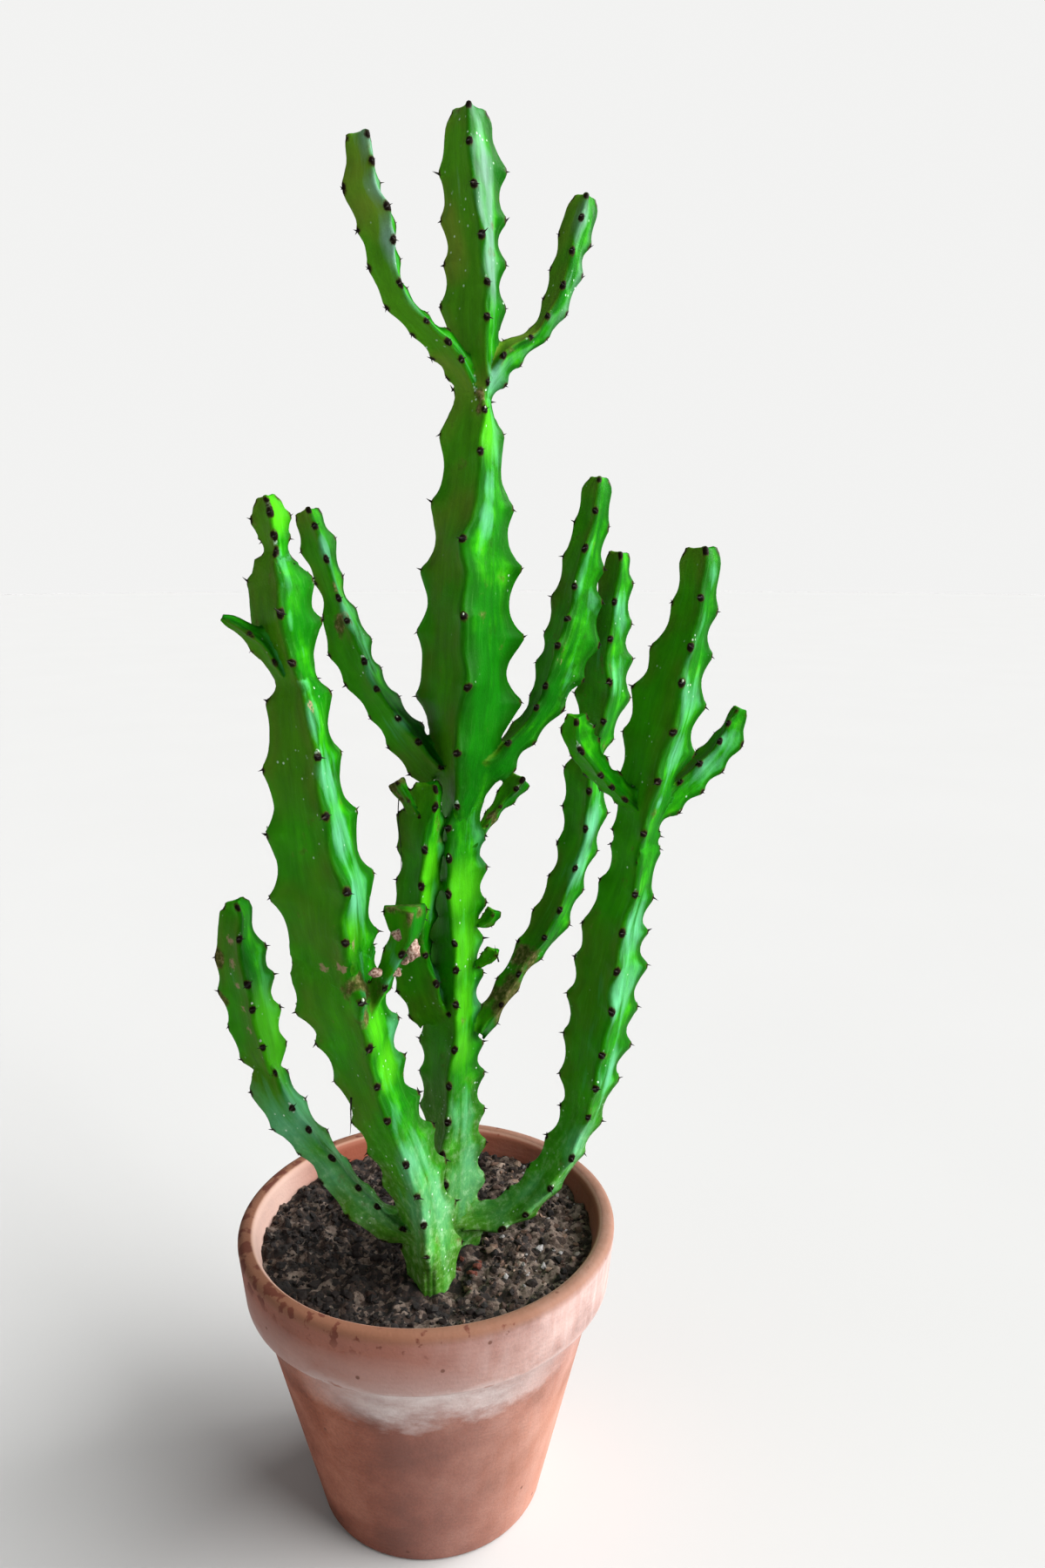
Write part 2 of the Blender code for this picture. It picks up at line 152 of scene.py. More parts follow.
TRUNK_SHOOTS = (
    Shoot("lower_trunk", 18, 8, (-24, -14, -6, 4, 0, -14, -20), (
        (13, -9, 150, 17.5), (12, -7, 164, 18.5), (12.5, -4, 225, 19), (15, 0, 293, 17.5), (16, 1, 337, 17),
        (19, 4, 372, 14))),
    Shoot("middle_trunk", 31.5, 26, (-10, -12, -5, -7, -7, 6, 14), (
        (19, 4, 362, 12), (21, 5, 386, 23), (23, 6, 426, 30), (25, 8, 483, 27.5), (28, 10, 519, 21),
        (28.5, 12, 542, 18), (29, 13, 563, 12))),
    Shoot("upper_trunk", 19.5, 6, (16, 16, 8, 5, -5, -4), (
        (29, 13, 554, 11), (30, 14, 573, 14), (30, 15, 596, 18), (30, 15, 618, 16.5), (29, 16, 636, 17),
        (28, 17, 658, 17.5), (27, 17, 671, 15), (27, 17, 681, 10))),
    Shoot("top_left_arm", 15, 10, (0, 24, 28), (
        (27, 12, 563, 8), (18, 2, 576, 9), (6, -10, 585, 7), (-5, -20, 595, 7.5), (-9.5, -25, 607, 8.5),
        (-12, -28, 622, 10.5), (-17, -31, 634, 10), (-18, -32, 645, 8), (-19, -33, 653, 7))),
    Shoot("top_right_arm", 17, 10, (-10, -2), (
        (31, 13, 562, 8), (44, 19, 579, 9), (58, 27, 589, 5.5), (67, 33, 602, 7.5), (73, 37, 618, 9),
        (77, 40, 633, 9), (80, 42, 642, 10.5), (82, 43, 649, 9.5), (83, 43, 654, 7))),
    Shoot("middle_left_arm", 17, 10, (22, 12), (
        (10, 8, 384, 12), (-3, 12, 399, 12.5), (-14.5, 18, 414, 10.5), (-26, 24, 431, 11.5),
        (-34, 29, 451, 13), (-40, 33, 470, 7.5), (-46, 36, 491, 10.5), (-50, 38, 503, 9), (-52, 39, 509, 8))),
    Shoot("middle_right_arm", 18, 10, (-30, -8), (
        (33, 8, 385, 13), (45, 14, 397, 9), (60, 22, 413, 10), (69, 28, 432, 15), (76, 32, 451, 17),
        (80, 34, 474, 13.5), (83, 34, 489, 12), (87, 35, 504, 10), (89, 35, 518, 10), (90, 35, 525, 6))),
    Shoot("back_arm", 20, 10, (-4, -4), (
        (26, 5, 251, 9.5), (38, 12, 264, 7.5), (51, 20, 282, 8), (65, 27, 299, 12), (77, 33, 324, 11.5),
        (85, 38, 351, 13.5), (87, 42, 376, 14), (90, 44, 389, 10), (96, 46, 416, 17), (97, 47, 439, 15.5),
        (100, 48, 461, 12), (102, 48, 478, 10), (103, 48, 489, 7))),
    Shoot("inner_left_arm", 17, 8, (36, 30, -4, 26), (
        (7, 0, 261, 12), (1, -8, 281, 14), (-4, -11, 302, 14), (-2, -12, 324, 13.5), (0.5, -12, 346, 13),
        (1, -11, 362, 15), (3, -11, 371, 12), (4, -11, 378, 11.5), (4, -11, 383, 9))),
    Shoot("inner_left_bud", 12, 8, (10, 10), (
        (0, -12, 366, 6), (-4, -11, 373, 5), (-8, -10, 379, 5), (-11, -9, 384, 5.5))),
    Shoot("inner_right_shoot", 12, 7, (0, 0), (
        (25, 4, 349, 4.5), (32, 10, 358, 4), (39, 16, 366, 4.5), (46, 21, 373, 7.5), (50, 23, 378, 9))),
    Shoot("right_side_low_bud", 9, 6, (20, 20), (
        (26, 2, 288, 3), (30, 1, 290, 4), (33.5, 1, 293, 5.5), (35, 1, 296, 5))),
    Shoot("right_side_high_bud", 9, 6, (-10, -10), (
        (26, 3, 308, 3), (30, 2, 310, 4), (33.5, 2, 313, 5.5), (35, 2, 316, 5))),
    Shoot("right_arm", 20, 10, (-6, -4), (
        (18, -9, 155, 10.5), (36, -14, 158, 11.5), (52, -16, 169.5, 12), (66, -18, 190, 12.5),
        (77, -19, 214, 13), (81.5, -20, 237, 18), (86.5, -21, 267, 20.5), (90.5, -22, 296, 20.5),
        (93, -23, 316, 18), (99, -24, 338, 15), (101, -25, 355, 14.5))),
    Shoot("right_arm_upper", 22, 10, (-5, -5), (
        (99, -25, 349, 12), (103, -26, 370, 16), (108, -27, 393, 19), (114, -28, 419, 21),
        (118, -29, 439, 17.5), (123, -30, 459, 13), (125, -30, 470, 12), (126, -31, 482, 12.5),
        (126, -31, 491, 9.5))),
    Shoot("right_arm_inner_fork", 12, 6, (-10, -10), (
        (99, -28, 375, 7), (84, -37, 389, 7), (75, -44, 400, 8), (69, -48, 411, 9), (68, -50, 420, 6))),
    Shoot("right_arm_outer_fork", 14, 6, (-35, -35), (
        (102, -24, 364, 8), (121, -17, 379, 9), (135, -11, 390, 9.5), (146, -7, 401, 9), (151, -5, 411, 6.5),
        (153, -5, 416, 4.5))),
)

FRONT_SHOOTS = (
    Shoot("front_stem", 20, 8, (-4, 4, 14, 18), (
        (1, -42, 150, 17), (0.5, -42, 164, 17.5), (-1, -42, 176, 17), (-7, -44, 204, 19),
        (-16, -47, 230, 19.5), (-23.5, -49, 253, 19.5), (-29.5, -52, 280, 23.5), (-35, -54, 302, 26.5),
        (-36, -55, 319, 21))),
    Shoot("front_stem_middle", 29, 10, (14, 18, 18, 12), (
        (-36, -55, 306, 21), (-38, -56, 327, 26), (-40, -57, 351, 27), (-44, -58, 378, 23),
        (-47, -59, 405, 19.5), (-48, -60, 427, 16.5), (-49, -60, 438, 11.5))),
    Shoot("front_stem_upper", 20, 8, (6, 6), (
        (-49, -60, 430, 9), (-51, -60, 445, 13), (-54, -61, 463, 18), (-55, -61, 477, 15.5),
        (-56, -62, 484, 12.5), (-56, -62, 489, 8))),
    Shoot("front_stem_tip", 9, 5, (6, 6), (
        (-55, -62, 480, 6.5), (-55.5, -62, 491, 6.5), (-57, -62, 501, 9), (-58, -62, 507, 8),
        (-59, -62, 511, 5))),
    Shoot("front_stem_bud", 14, 30, (0, 0), (
        (-55, -60, 440, 6), (-62, -63, 453, 7), (-70, -66, 460, 4.5), (-75, -68, 463, 3),
        (-77, -69, 464, 2))),
    Shoot("cut_arm", 20, 14, (12, 12), (
        (-25, -56, 290, 7), (-18, -62, 305, 6.5), (-12, -66, 318, 6.5), (-9, -67, 325, 7.5),
        (-7, -67, 330, 10.5), (-6.5, -67, 341, 11))),
    Shoot("low_left_arm", 18, 20, (50, 30), (
        (0, -40, 166, 9), (-21, -33, 173, 10.5), (-36, -28, 186, 10.5), (-49, -25, 204, 9.5),
        (-61, -22, 219, 11.5), (-71, -19, 234, 12.5), (-76, -17, 248, 10))),
    Shoot("low_left_arm_upper", 17, 10, (14, 14), (
        (-74, -17, 244, 9), (-78, -15, 257, 14), (-82, -13, 274, 15), (-85, -12, 294, 15.5),
        (-87.5, -11, 311, 12), (-87, -10, 323, 9.5), (-88, -10, 328, 6))),
)

# Shoots that end in a cut, a broken end or under the next joint, and so carry no crown of young spines
BLUNT_SHOOTS = {
    "lower_trunk", "middle_trunk", "right_arm", "front_stem", "front_stem_middle", "low_left_arm", "cut_arm"}

ROOTED_SHOOTS = {"lower_trunk", "front_stem"}

# Patches of skin that fade out from a place to a radius, as x, y, z and radius in millimetres
MARKS = {
    "cork": (
        (40, 13, 267, 18), (53, 18, 285, 13), (12, -10, 392, 8), (-24, -66, 304, 10), (-30, -70, 307, 9),
        (-26, -68, 292, 8), (-7, -77, 341, 9), (-15, -70, 341, 9), (2, -71, 341, 8), (-7, -67, 342, 9),
        (-56, -66, 480, 5), (105, -33, 373, 5), (34, 11, 361, 7), (29, 1, 560, 6), (29, 0, 553, 5),
        (-38, 26, 474, 5), (-36, 24, 455, 8), (-12, -10, 383, 8), (-9, -11, 377, 6), (-20, -36, 600, 6),
        (-100, -8, 300, 9), (-98, -9, 280, 8), (-95, -9, 262, 7)),
    # New growth, lime, and painted light: lime patches that brighten faces lying in the shade of other stems
    "young": (
        (-54, -66, 506, 12), (-76, -22, 266, 28), (-78, -18, 250, 16), (4, -20, 345, 13), (1, -20, 328, 12),
        (38, 0, 545, 18), (-14, -62, 285, 17), (-20, -52, 262, 14), (24, -12, 330, 20), (24, -12, 300, 22),
        (24, -14, 272, 19), (22, -14, 250, 15), (-25, -70, 330, 13)),
    # Wax, and painted sheen: pale patches where the key light's highlight falls on the faces
    "wax": (
        (30, 2, 684, 24), (35, 0, 665, 17), (35, 0, 640, 17), (38, 4, 612, 20), (38, 6, 566, 12),
        (34, -6, 506, 12), (38, -2, 520, 12), (-26, -64, 345, 22), (-30, -68, 372, 20), (-34, -70, 400, 18),
        (-34, -72, 424, 16), (-40, -74, 440, 12), (-46, -74, 484, 10), (-52, -72, 486, 9), (-50, -69, 506, 8),
        (28, -18, 215, 22), (26, -18, 180, 22), (2, -58, 190, 24), (-4, -60, 215, 20), (-10, -62, 240, 12),
        (106, -32, 316, 24), (104, -34, 285, 22), (97, -32, 240, 20), (76, -30, 202, 20), (54, -28, 174, 18),
        (36, -22, 162, 12), (134, -36, 455, 17), (130, -38, 425, 19), (124, -36, 397, 14),
        (133, -36, 480, 11), (-28, -70, 396, 20), (-24, -70, 374, 20), (-20, -68, 352, 20),
        (-18, -66, 332, 14), (40, 7, 655, 18), (40, 7, 628, 15), (-50, -72, 478, 9), (-46, -73, 462, 9),
        (136, -22, 394, 14), (144, -16, 404, 10), (-45, -38, 196, 26), (-60, -30, 222, 22),
        (-30, -42, 182, 20), (-22, 8, 432, 16), (-10, 2, 412, 14), (-34, 18, 462, 12), (-44, 26, 492, 10),
        (84, 22, 330, 18), (92, 28, 352, 16), (108, 36, 425, 18), (110, 38, 460, 17), (66, 12, 306, 10),
        (-10, -36, 612, 12), (-12, -40, 634, 10), (50, 14, 590, 9), (81, 27, 645, 16), (74, 24, 616, 13),
        (68, 20, 598, 11), (-17, -38, 652, 15), (109, -33, 377, 4), (-16, -72, 306, 9), (-12, -72, 318, 7)),
    # Painted shade: dark green patches where shade falls, some also the stem's own deeper green
    "deep": (
        (34, -2, 400, 30), (36, -2, 440, 32), (33, -4, 464, 18), (-12, -24, 290, 16), (58, 14, 420, 16),
        (30, -10, 375, 14), (-34, -70, 462, 14), (-28, -68, 452, 12), (-7, -76, 337, 18), (-15, -70, 336, 12),
        (0, -70, 336, 12), (-40, -66, 462, 14), (-36, -66, 440, 14), (0, -24, 368, 12), (-2, -24, 300, 24),
        (-6, -22, 284, 16), (-50, 30, 500, 6), (30, -4, 420, 26), (26, -14, 345, 14), (-20, -36, 622, 12),
        (-16, -34, 606, 10), (72, 30, 622, 12), (66, 28, 608, 10), (-60, -56, 350, 20), (-62, -56, 390, 20)),
    "scar": (
        (-24, -73, 316, 4.5), (-28, -68, 326, 4), (-17, -71, 315, 4), (-42, -63, 314, 4), (-35, -71, 316, 4),
        (70, 17, 437, 3), (73, 16, 438, 3), (76, 15, 439, 3), (79, 15, 440.5, 3), (82, 17, 442, 3),
        (86, 20, 443.5, 3), (-42, -70, 428, 4), (-38, -70, 430, 3), (-91, -16, 311, 3.5),
        (-89, -17, 300, 3.5), (-86.6, -18, 290, 3.5), (-84, -19, 279, 3), (-81.3, -20, 268.7, 3),
        (-54.4, -70, 491.6, 2.5), (-52.7, -72, 487.5, 3), (-51.2, -72, 482.5, 3)),
}

# Healed wounds, as a place and three radii in millimetres, and dry threads, as two ends and a radius
CALLUS_BLOBS = (
    ((-10.5, -69.6, 330), (3.0, 2.0, 3.0)), ((-4.5, -68, 322.5), (3.2, 2.4, 4.8)),
    ((-8, -64, 317), (2.6, 2.0, 2.2)), ((-21, -69.2, 313), (3.2, 1.4, 2.0)),
    ((-12, -66.5, 312), (2.4, 1.4, 2.6)),
)
DRY_THREADS = (
    ((-9.6, -6, 383), (-9.6, -9, 322), 0.28), ((-34, -50, 246), (-35, -51, 228), 0.45),
    ((37, -2, 291), (35, -3, 300), 0.4),
)


class StemSettings(bpy.types.PropertyGroup):
    """How finely the stems are grown and how soft they are."""
    ring_step: FloatProperty(
        name="Ring Step", description="Distance between the rings of a stem's skin", default=2.2 * MM,
        unit="LENGTH")
    edge_half: FloatProperty(
        name="Wing Edge", description="Half the thickness of a wing at its edge", default=0.75 * MM,
        unit="LENGTH")
    axil_reach: FloatProperty(
        name="Axil Softness", description="How far the skin is rounded where shoots join", default=5.0 * MM,
        unit="LENGTH")
    lump_height: FloatProperty(
        name="Lumps", description="Height of the soft lumps in a stem's faces", default=0.35 * MM,
        unit="LENGTH")


class SpineSettings(bpy.types.PropertyGroup):
    """The pair of thorns on each tooth."""
    length: FloatProperty(name="Length", description="Length of a spine", default=2.8 * MM, unit="LENGTH")
    radius: FloatProperty(
        name="Root Radius", description="Radius of a spine's root", default=0.56 * MM, unit="LENGTH")
    splay: FloatProperty(
        name="Splay", description="Angle between a spine and the wing it stands on", default=math.radians(66),
        subtype="ANGLE")


class PotSettings(bpy.types.PropertyGroup):
    """The thrown clay pot."""
    sides: IntProperty(name="Sides", description="Facets round the pot", default=160, min=24)
    clay: StringProperty(name="Clay", description="Fired clay, as a hex colour", default="8c4a31")
    bloom: StringProperty(
        name="Lime Bloom", description="Lime salts on the clay, as a hex colour", default="d2c6c3")


class SoilSettings(bpy.types.PropertyGroup):
    """The potting soil and what lies on it."""
    crumbs: IntProperty(name="Crumbs", description="Loose crumbs on the soil", default=1800, min=0)
    crumb_size: FloatProperty(
        name="Crumb Size", description="Radius of a large crumb", default=2.8 * MM, unit="LENGTH")


class StageSettings(bpy.types.PropertyGroup):
    """Floor, lights and camera."""
    lens: FloatProperty(
        name="Lens", description="Focal length on 36 mm of height", default=26.0, subtype="DISTANCE_CAMERA")
    key_power: FloatProperty(
        name="Key Light", description="Strength of the soft light on the right", default=6.9, min=0)
    rim_power: FloatProperty(
        name="Rim Light", description="Strength of the soft light behind on the right", default=2.2, min=0)
    side_power: FloatProperty(
        name="Side Light", description="Strength of the soft light on the left", default=0.35, min=0)
    fill: FloatProperty(name="Fill", description="Brightness of the surroundings", default=0.17, min=0)
    backdrop: FloatProperty(
        name="Backdrop", description="Brightness of the backdrop behind", default=0.90, min=0)


def linear(hex_colour):
    """A six-digit sRGB hex colour as linear light, with full alpha."""
    channels = [int(hex_colour[i:i + 2], 16) / 255 for i in (0, 2, 4)]
    return (*(c / 12.92 if c <= 0.04045 else ((c + 0.055) / 1.055) ** 2.4 for c in channels), 1.0)


def feed(tree, inputs, values):
    """Links each input to a socket, or sets it to a value or a hex colour."""
    for socket, value in values.items():
        if isinstance(value, bpy.types.NodeSocket):
            tree.links.new(value, inputs[socket])
        else:
            inputs[socket].default_value = linear(value) if isinstance(value, str) else value


def node(tree, kind, values=(), out=0, stops=(), **settings):
    """Adds a shader node with its settings, ramp stops and inputs, and gives back one of its outputs."""
    made = tree.nodes.new("ShaderNode" + kind)
    for name, value in settings.items():
        setattr(made, name, value)
    for _ in stops[2:]:
        made.color_ramp.elements.new(0.5)
    for element, (position, colour) in zip(made.color_ramp.elements if stops else (), stops):
        element.position = position
        element.color = linear(colour) if isinstance(colour, str) else (colour, colour, colour, 1.0)
    feed(tree, made.inputs, dict(values))
    return made.outputs[out]


def new_material(name):
    """A new material, with one function that adds a node to it and one that sets its surface."""
    material = bpy.data.materials.new(name)
    material.use_nodes = True
    tree = material.node_tree
    return material, partial(node, tree), partial(feed, tree, tree.nodes["Principled BSDF"].inputs)


def object_from(bm, name, material):
    """Makes the piece, shades it smooth and puts it in the scene at the origin."""
    mesh = bpy.data.meshes.new(name)
    bm.to_mesh(mesh)
    bm.free()
    mesh.shade_smooth()
    piece = bpy.data.objects.new(name, mesh)
    bpy.context.scene.collection.objects.link(piece)
    if material:
        mesh.materials.append(material)
    return piece


def dress(piece, slot, *replaced):
    """Makes the piece ride on the root, and hides the packed parts it stands for. The slot is not used."""
    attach(piece, "root")
    if replaced:
        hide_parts(*replaced)


def apply_modifiers(piece):
    """Gives the piece the mesh that its modifiers make."""
    evaluated = piece.evaluated_get(bpy.context.evaluated_depsgraph_get())
    mesh = bpy.data.meshes.new_from_object(evaluated)
    piece.modifiers.clear()
    old = piece.data
    piece.data = mesh
    bpy.data.meshes.remove(old)


def finder(places):
    """A tree that finds the nearest of some places."""
    tree = kdtree.KDTree(len(places))
    for i, place in enumerate(places):
        tree.insert(place, i)
    tree.balance()
    return tree


def add_lump(bm, seat, radii, subdivisions=1):
    """Adds a faceted lump with three radii where a matrix seats it, and gives back its points."""
    return bmesh.ops.create_icosphere(
        bm, subdivisions=subdivisions, radius=1.0, matrix=seat @ Matrix.Diagonal((*radii, 1)))["verts"]


def roughen(verts, chance, size):
    """Shifts each point a little at random, so that no two lumps are alike."""
    for vert in verts:
        vert.co += Vector([chance.uniform(-LUMP_UNEVENNESS, LUMP_UNEVENNESS) * size for _ in range(3)])


# Stems

def wing_axes(front, side, wing):
    """The directions outwards along a wing and square across it."""
    angle = wing * math.tau / WINGS
    return front * math.cos(angle) + side * math.sin(angle), side * math.cos(angle) - front * math.sin(angle)


def between(a, b, c, d, share):
    """A point on the smooth curve from b to c, where a and d are the points on either side."""
    return 0.5 * (2 * b + (c - a) * share + (2 * a - 5 * b + 4 * c - d) * share ** 2
                  + (3 * b - a - 3 * c + d) * share ** 3)


class CentreLine:
    """The smooth line up the middle of a shoot, with its reach, measured along its length."""

    def __init__(self, path):
        knots = [Vector(point) * MM for point in path]
        knots = [2 * knots[0] - knots[1]] + knots + [2 * knots[-1] - knots[-2]]
        self.samples = [between(*knots[i:i + 4], step / PATH_SAMPLES)
                        for i in range(len(knots) - 3) for step in range(PATH_SAMPLES)]
        self.samples.append(knots[-2])
        self.marks = [0.0]
        for low, high in zip(self.samples, self.samples[1:]):
            self.marks.append(self.marks[-1] + (high.xyz - low.xyz).length)
        self.length = self.marks[-1]

    def at(self, distance):
        """The place, reach and upward direction at a distance from the root."""
        distance = min(max(distance, 0.0), self.length)
        i = min(bisect.bisect_right(self.marks, distance), len(self.marks) - 1) - 1
        share = (distance - self.marks[i]) / (self.marks[i + 1] - self.marks[i])
        here = self.samples[i].lerp(self.samples[i + 1], share)
        before, after = self.samples[max(i - 2, 0)], self.samples[min(i + 3, len(self.samples) - 1)]
        return here.xyz, here.w, (after.xyz - before.xyz).normalized()


class Grown:
    """A shoot with its centre line and the uneven teeth of its three wings."""

    def __init__(self, shoot):
        self.shoot = shoot
        self.line = CentreLine(shoot.path)
        self.grows = shoot.name not in BLUNT_SHOOTS
        chance = random.Random(shoot.name)
        count = int(self.line.length / MM / shoot.spacing) + 3
        self.teeth = []
        for wing in range(WINGS):
            offset, uneven = (FRONT_TOOTH_PHASE, 0.2) if wing == 0 else (0.0, 0.08)
            teeth = [(shoot.first + (turn + offset + chance.uniform(-uneven, uneven)) * shoot.spacing) * MM
                     for turn in range(-count, count)]
            if self.grows:
                crown = self.line.length - 0.9 * MM
                teeth = [tooth for tooth in teeth if tooth < crown - 0.42 * shoot.spacing * MM]
                teeth += [crown, crown + shoot.spacing * MM]
            self.teeth.append(teeth)
        self.bend = chance.uniform(0, 100)

    def frame_at(self, distance):
        """The place and reach, with directions to the front wing, to its side and along the shoot."""
        place, reach, along = self.line.at(distance)
        if self.grows:
            reach *= 1 - 0.16 * max(0.0, 1 - (self.line.length - distance) / (5 * MM))
        turns = self.shoot.turn
        share = min(distance / self.line.length, 0.9999) * (len(turns) - 1)
        low, high = turns[int(share)], turns[int(share) + 1]
        turn = math.radians(low + (high - low) * (share % 1))
        turn += 0.16 * noise.noise(Vector((distance / (20 * MM), self.bend, 0)))
        front = Vector((math.sin(turn), -math.cos(turn), 0))
        front = (front - front.dot(along) * along).normalized()
        return place, reach, front, along.cross(front), along

    def teeth_beside(self, distance, wing):
        """Where the teeth next below and above a distance stand on a wing."""
        teeth = self.teeth[wing]
        above = bisect.bisect_right(teeth, distance)
        return teeth[above - 1], teeth[above]

    def crest(self, reach, distance, wing):
        """How far a wing stands out, and how near the spot is to a tooth's tip, from 0 to 1."""
        low, high = self.teeth_beside(distance, wing)
        phase = (distance - low) / (high - low)
        if wing == 0 and self.shoot.name in ROOTED_SHOOTS:
            # The wing that faces the front runs out towards the soil
            reach *= 0.62 + 0.38 * min(1.0, distance / FLAT_FOOT)
        blunt = TOOTH_FLAT / (high - low)
        phase = min(max((phase - blunt) / (1 - 2 * blunt), 0.0), 1.0)
        depth = NOTCH_SHARE * reach * min(1.0, self.shoot.spacing / FULL_NOTCH_SPACING)
        depth = (NOTCH_LEAST + depth) * NOTCH_OF_WING[wing]
        close = max(0.0, 1 - min(distance - low, high - distance) / TOOTH_SPREAD)
        return reach - depth * math.sin(math.pi * phase ** TOOTH_LEAN) ** 0.92, close

    def section(self, distance, edge_half):
        """Points round the shoot: a rounded edge on each wing, and a hollow face from wing to wing."""
        place, reach, front, side, _ = self.frame_at(distance)
        hollow = HOLLOW_SHARE * reach
        low_x, low_y = hollow * math.cos(math.pi / WINGS), hollow * math.sin(math.pi / WINGS)
        points = []
        for wing in range(WINGS):
            out, across = wing_axes(front, side, wing)
            tip, close = self.crest(reach, distance, wing)
            half = min(edge_half + 0.03 * reach, 0.3 * low_y + 0.3 * MM) * (1 + 0.5 * close)
            shoulder, even = tip - half, 0.84 * reach - half
            rise = []
            for share in FACE_STOPS:
                # The teeth's bites reach only the outer part of a face
                top = even + (shoulder - even) * share ** 2
                rise.append((
                    low_x + (top - low_x) * share, half + (low_y - half) * (1 - share) ** FACE_CURVE))
            rise.append((shoulder + half * 0.72, half * 0.72))
            points.append(place + out * low_x - across * low_y)
            points += [place + out * x - across * y for x, y in rise]
            points.append(place + out * tip)
            points += [place + out * x + across * y for x, y in reversed(rise)]
        return points

    def ring_distances(self, step):
        """Even rings, closer together round every tooth."""
        length = self.line.length
        wanted = [step * i for i in range(1, int(length / step))]
        for wing in self.teeth:
            wanted += [tooth + shift for tooth in wing for shift in (-1.0 * MM, 0.0, 1.0 * MM)]
        kept = [0.0]
        tips = {tooth for wing in self.teeth for tooth in wing}
        for distance in sorted(d for d in wanted if 0.5 * MM < d < length - 0.7 * MM):
            if distance - kept[-1] > 0.55 * MM:
                kept.append(distance)
            elif distance in tips and len(kept) > 1 and kept[-1] not in tips:
                kept[-1] = distance
        return kept + [length]


def shoot_rings(grown, settings, rooted):
    """The rings of a shoot from root to end. A rooted shoot goes on down into the soil."""
    name, length = grown.shoot.name, grown.line.length
    rings = [grown.section(distance, settings.edge_half)
             for distance in grown.ring_distances(settings.ring_step)]
    if rooted:
        foot = grown.line.at(0)[0]
        low = []
        for height, share in ((SOIL_LEVEL - FOOT_DEPTH, 0.8), (SOIL_LEVEL - 6 * MM, 0.95)):
            centre = Vector((foot.x, foot.y, height))
            low.append([centre + (point - foot) * share for point in rings[0]])
        rings = low + rings
    if name != "cut_arm":
        end, reach, along = grown.line.at(length)
        around = len(rings[-1]) // WINGS
        steps = ((0.06, 0.86), (0.08, 0.6), (0.09, 0.3))
        if name not in BLUNT_SHOOTS:
            # The wings' ends stand up as horns round a sunken middle
            for i, point in enumerate(rings[-1]):
                point += along * max(0.0, 1 - abs(i % around - around / 2) / 3) * 0.07 * reach
            steps = ((0.07, 0.78), (-0.02, 0.5), (-0.06, 0.25))
        last = rings[-1]
        for rise, share in steps:
            rings.append([end + (point - end) * share + along * (rise * reach) for point in last])
    return rings


def skin_over(rings, number):
    """A closed skin over rings of points, its faces marked with the shoot's number."""
    around, up = len(rings[0]), len(rings) - 1
    bm = bmesh.new()
    bmesh.ops.create_grid(bm, x_segments=around, y_segments=up, size=0.5)
    for vert in bm.verts:
        vert.co = rings[round((vert.co.y + 0.5) * up)][round((vert.co.x + 0.5) * around) % around]
    bmesh.ops.remove_doubles(bm, verts=bm.verts, dist=1e-7)
    bmesh.ops.holes_fill(bm, edges=bm.edges, sides=around)
    bmesh.ops.triangulate(bm, faces=bm.faces)
    bmesh.ops.recalc_face_normals(bm, faces=bm.faces)
    shoot_of = bm.faces.layers.int.new("shoot")
    for face in bm.faces:
        face[shoot_of] = number
    return bm


def join_shoots(grown_shoots, settings, name):
    """Grows every shoot and joins them in one skin."""
    pieces = []
    for number, grown in enumerate(grown_shoots):
        mesh = bpy.data.meshes.new(grown.shoot.name)
        bm = skin_over(shoot_rings(grown, settings, number == 0), number)
        bm.to_mesh(mesh)
        bm.free()
        pieces.append(bpy.data.objects.new(grown.shoot.name, mesh))
    plant = pieces[0]
    plant.name = name
    bpy.context.scene.collection.objects.link(plant)
    arms = bpy.data.collections.new(name + "_arms")
    bpy.context.scene.collection.children.link(arms)
    for piece in pieces[1:]:
        arms.objects.link(piece)
    join = plant.modifiers.new("join", "BOOLEAN")
    join.operation = "UNION"
    join.operand_type = "COLLECTION"
    join.collection = arms
    apply_modifiers(plant)
    for piece in pieces[1:]:
        bpy.data.objects.remove(piece, do_unlink=True)
    bpy.data.collections.remove(arms)
    return plant


def drop_flaps(bm):
    """Removes pairs of faces that lie back to back on the same three points."""
    on_points = {}
    for face in bm.faces:
        on_points.setdefault(frozenset(face.verts), []).append(face)
    flaps = [face for faces in on_points.values() if len(faces) > 1 for face in faces]
    bmesh.ops.delete(bm, geom=flaps, context="FACES")


def soften(plant, settings):
    """Rounds the skin where shoots meet, and gives its faces soft lumps."""
    bm = bmesh.new()
    bm.from_mesh(plant.data)
    shoot_of = bm.faces.layers.int["shoot"]
    bmesh.ops.dissolve_degenerate(bm, edges=bm.edges, dist=0.12 * MM)
    bmesh.ops.triangulate(bm, faces=bm.faces)
    drop_flaps(bm)
    seams = {vert for edge in bm.edges if len({face[shoot_of] for face in edge.link_faces}) > 1
             for vert in edge.verts}
    if seams:
        seam_finder = finder([vert.co for vert in seams])
        away = {vert: seam_finder.find(vert.co)[2] for vert in bm.verts}
        for reach, turns in ((1.0, 5), (0.6, 6), (0.3, 5)):
            near = [vert for vert in bm.verts if away[vert] < settings.axil_reach * reach]
            for _ in range(turns):
                bmesh.ops.smooth_vert(
                    bm, verts=near, factor=0.5, use_axis_x=True, use_axis_y=True, use_axis_z=True)
    bm.normal_update()
    for vert in bm.verts:
        lump = noise.noise(vert.co / (9 * MM)) + 0.4 * noise.noise(vert.co / (3.2 * MM))
        vert.co += vert.normal * lump * settings.lump_height
    bm.to_mesh(plant.data)
    bm.free()
    plant.data.shade_smooth()


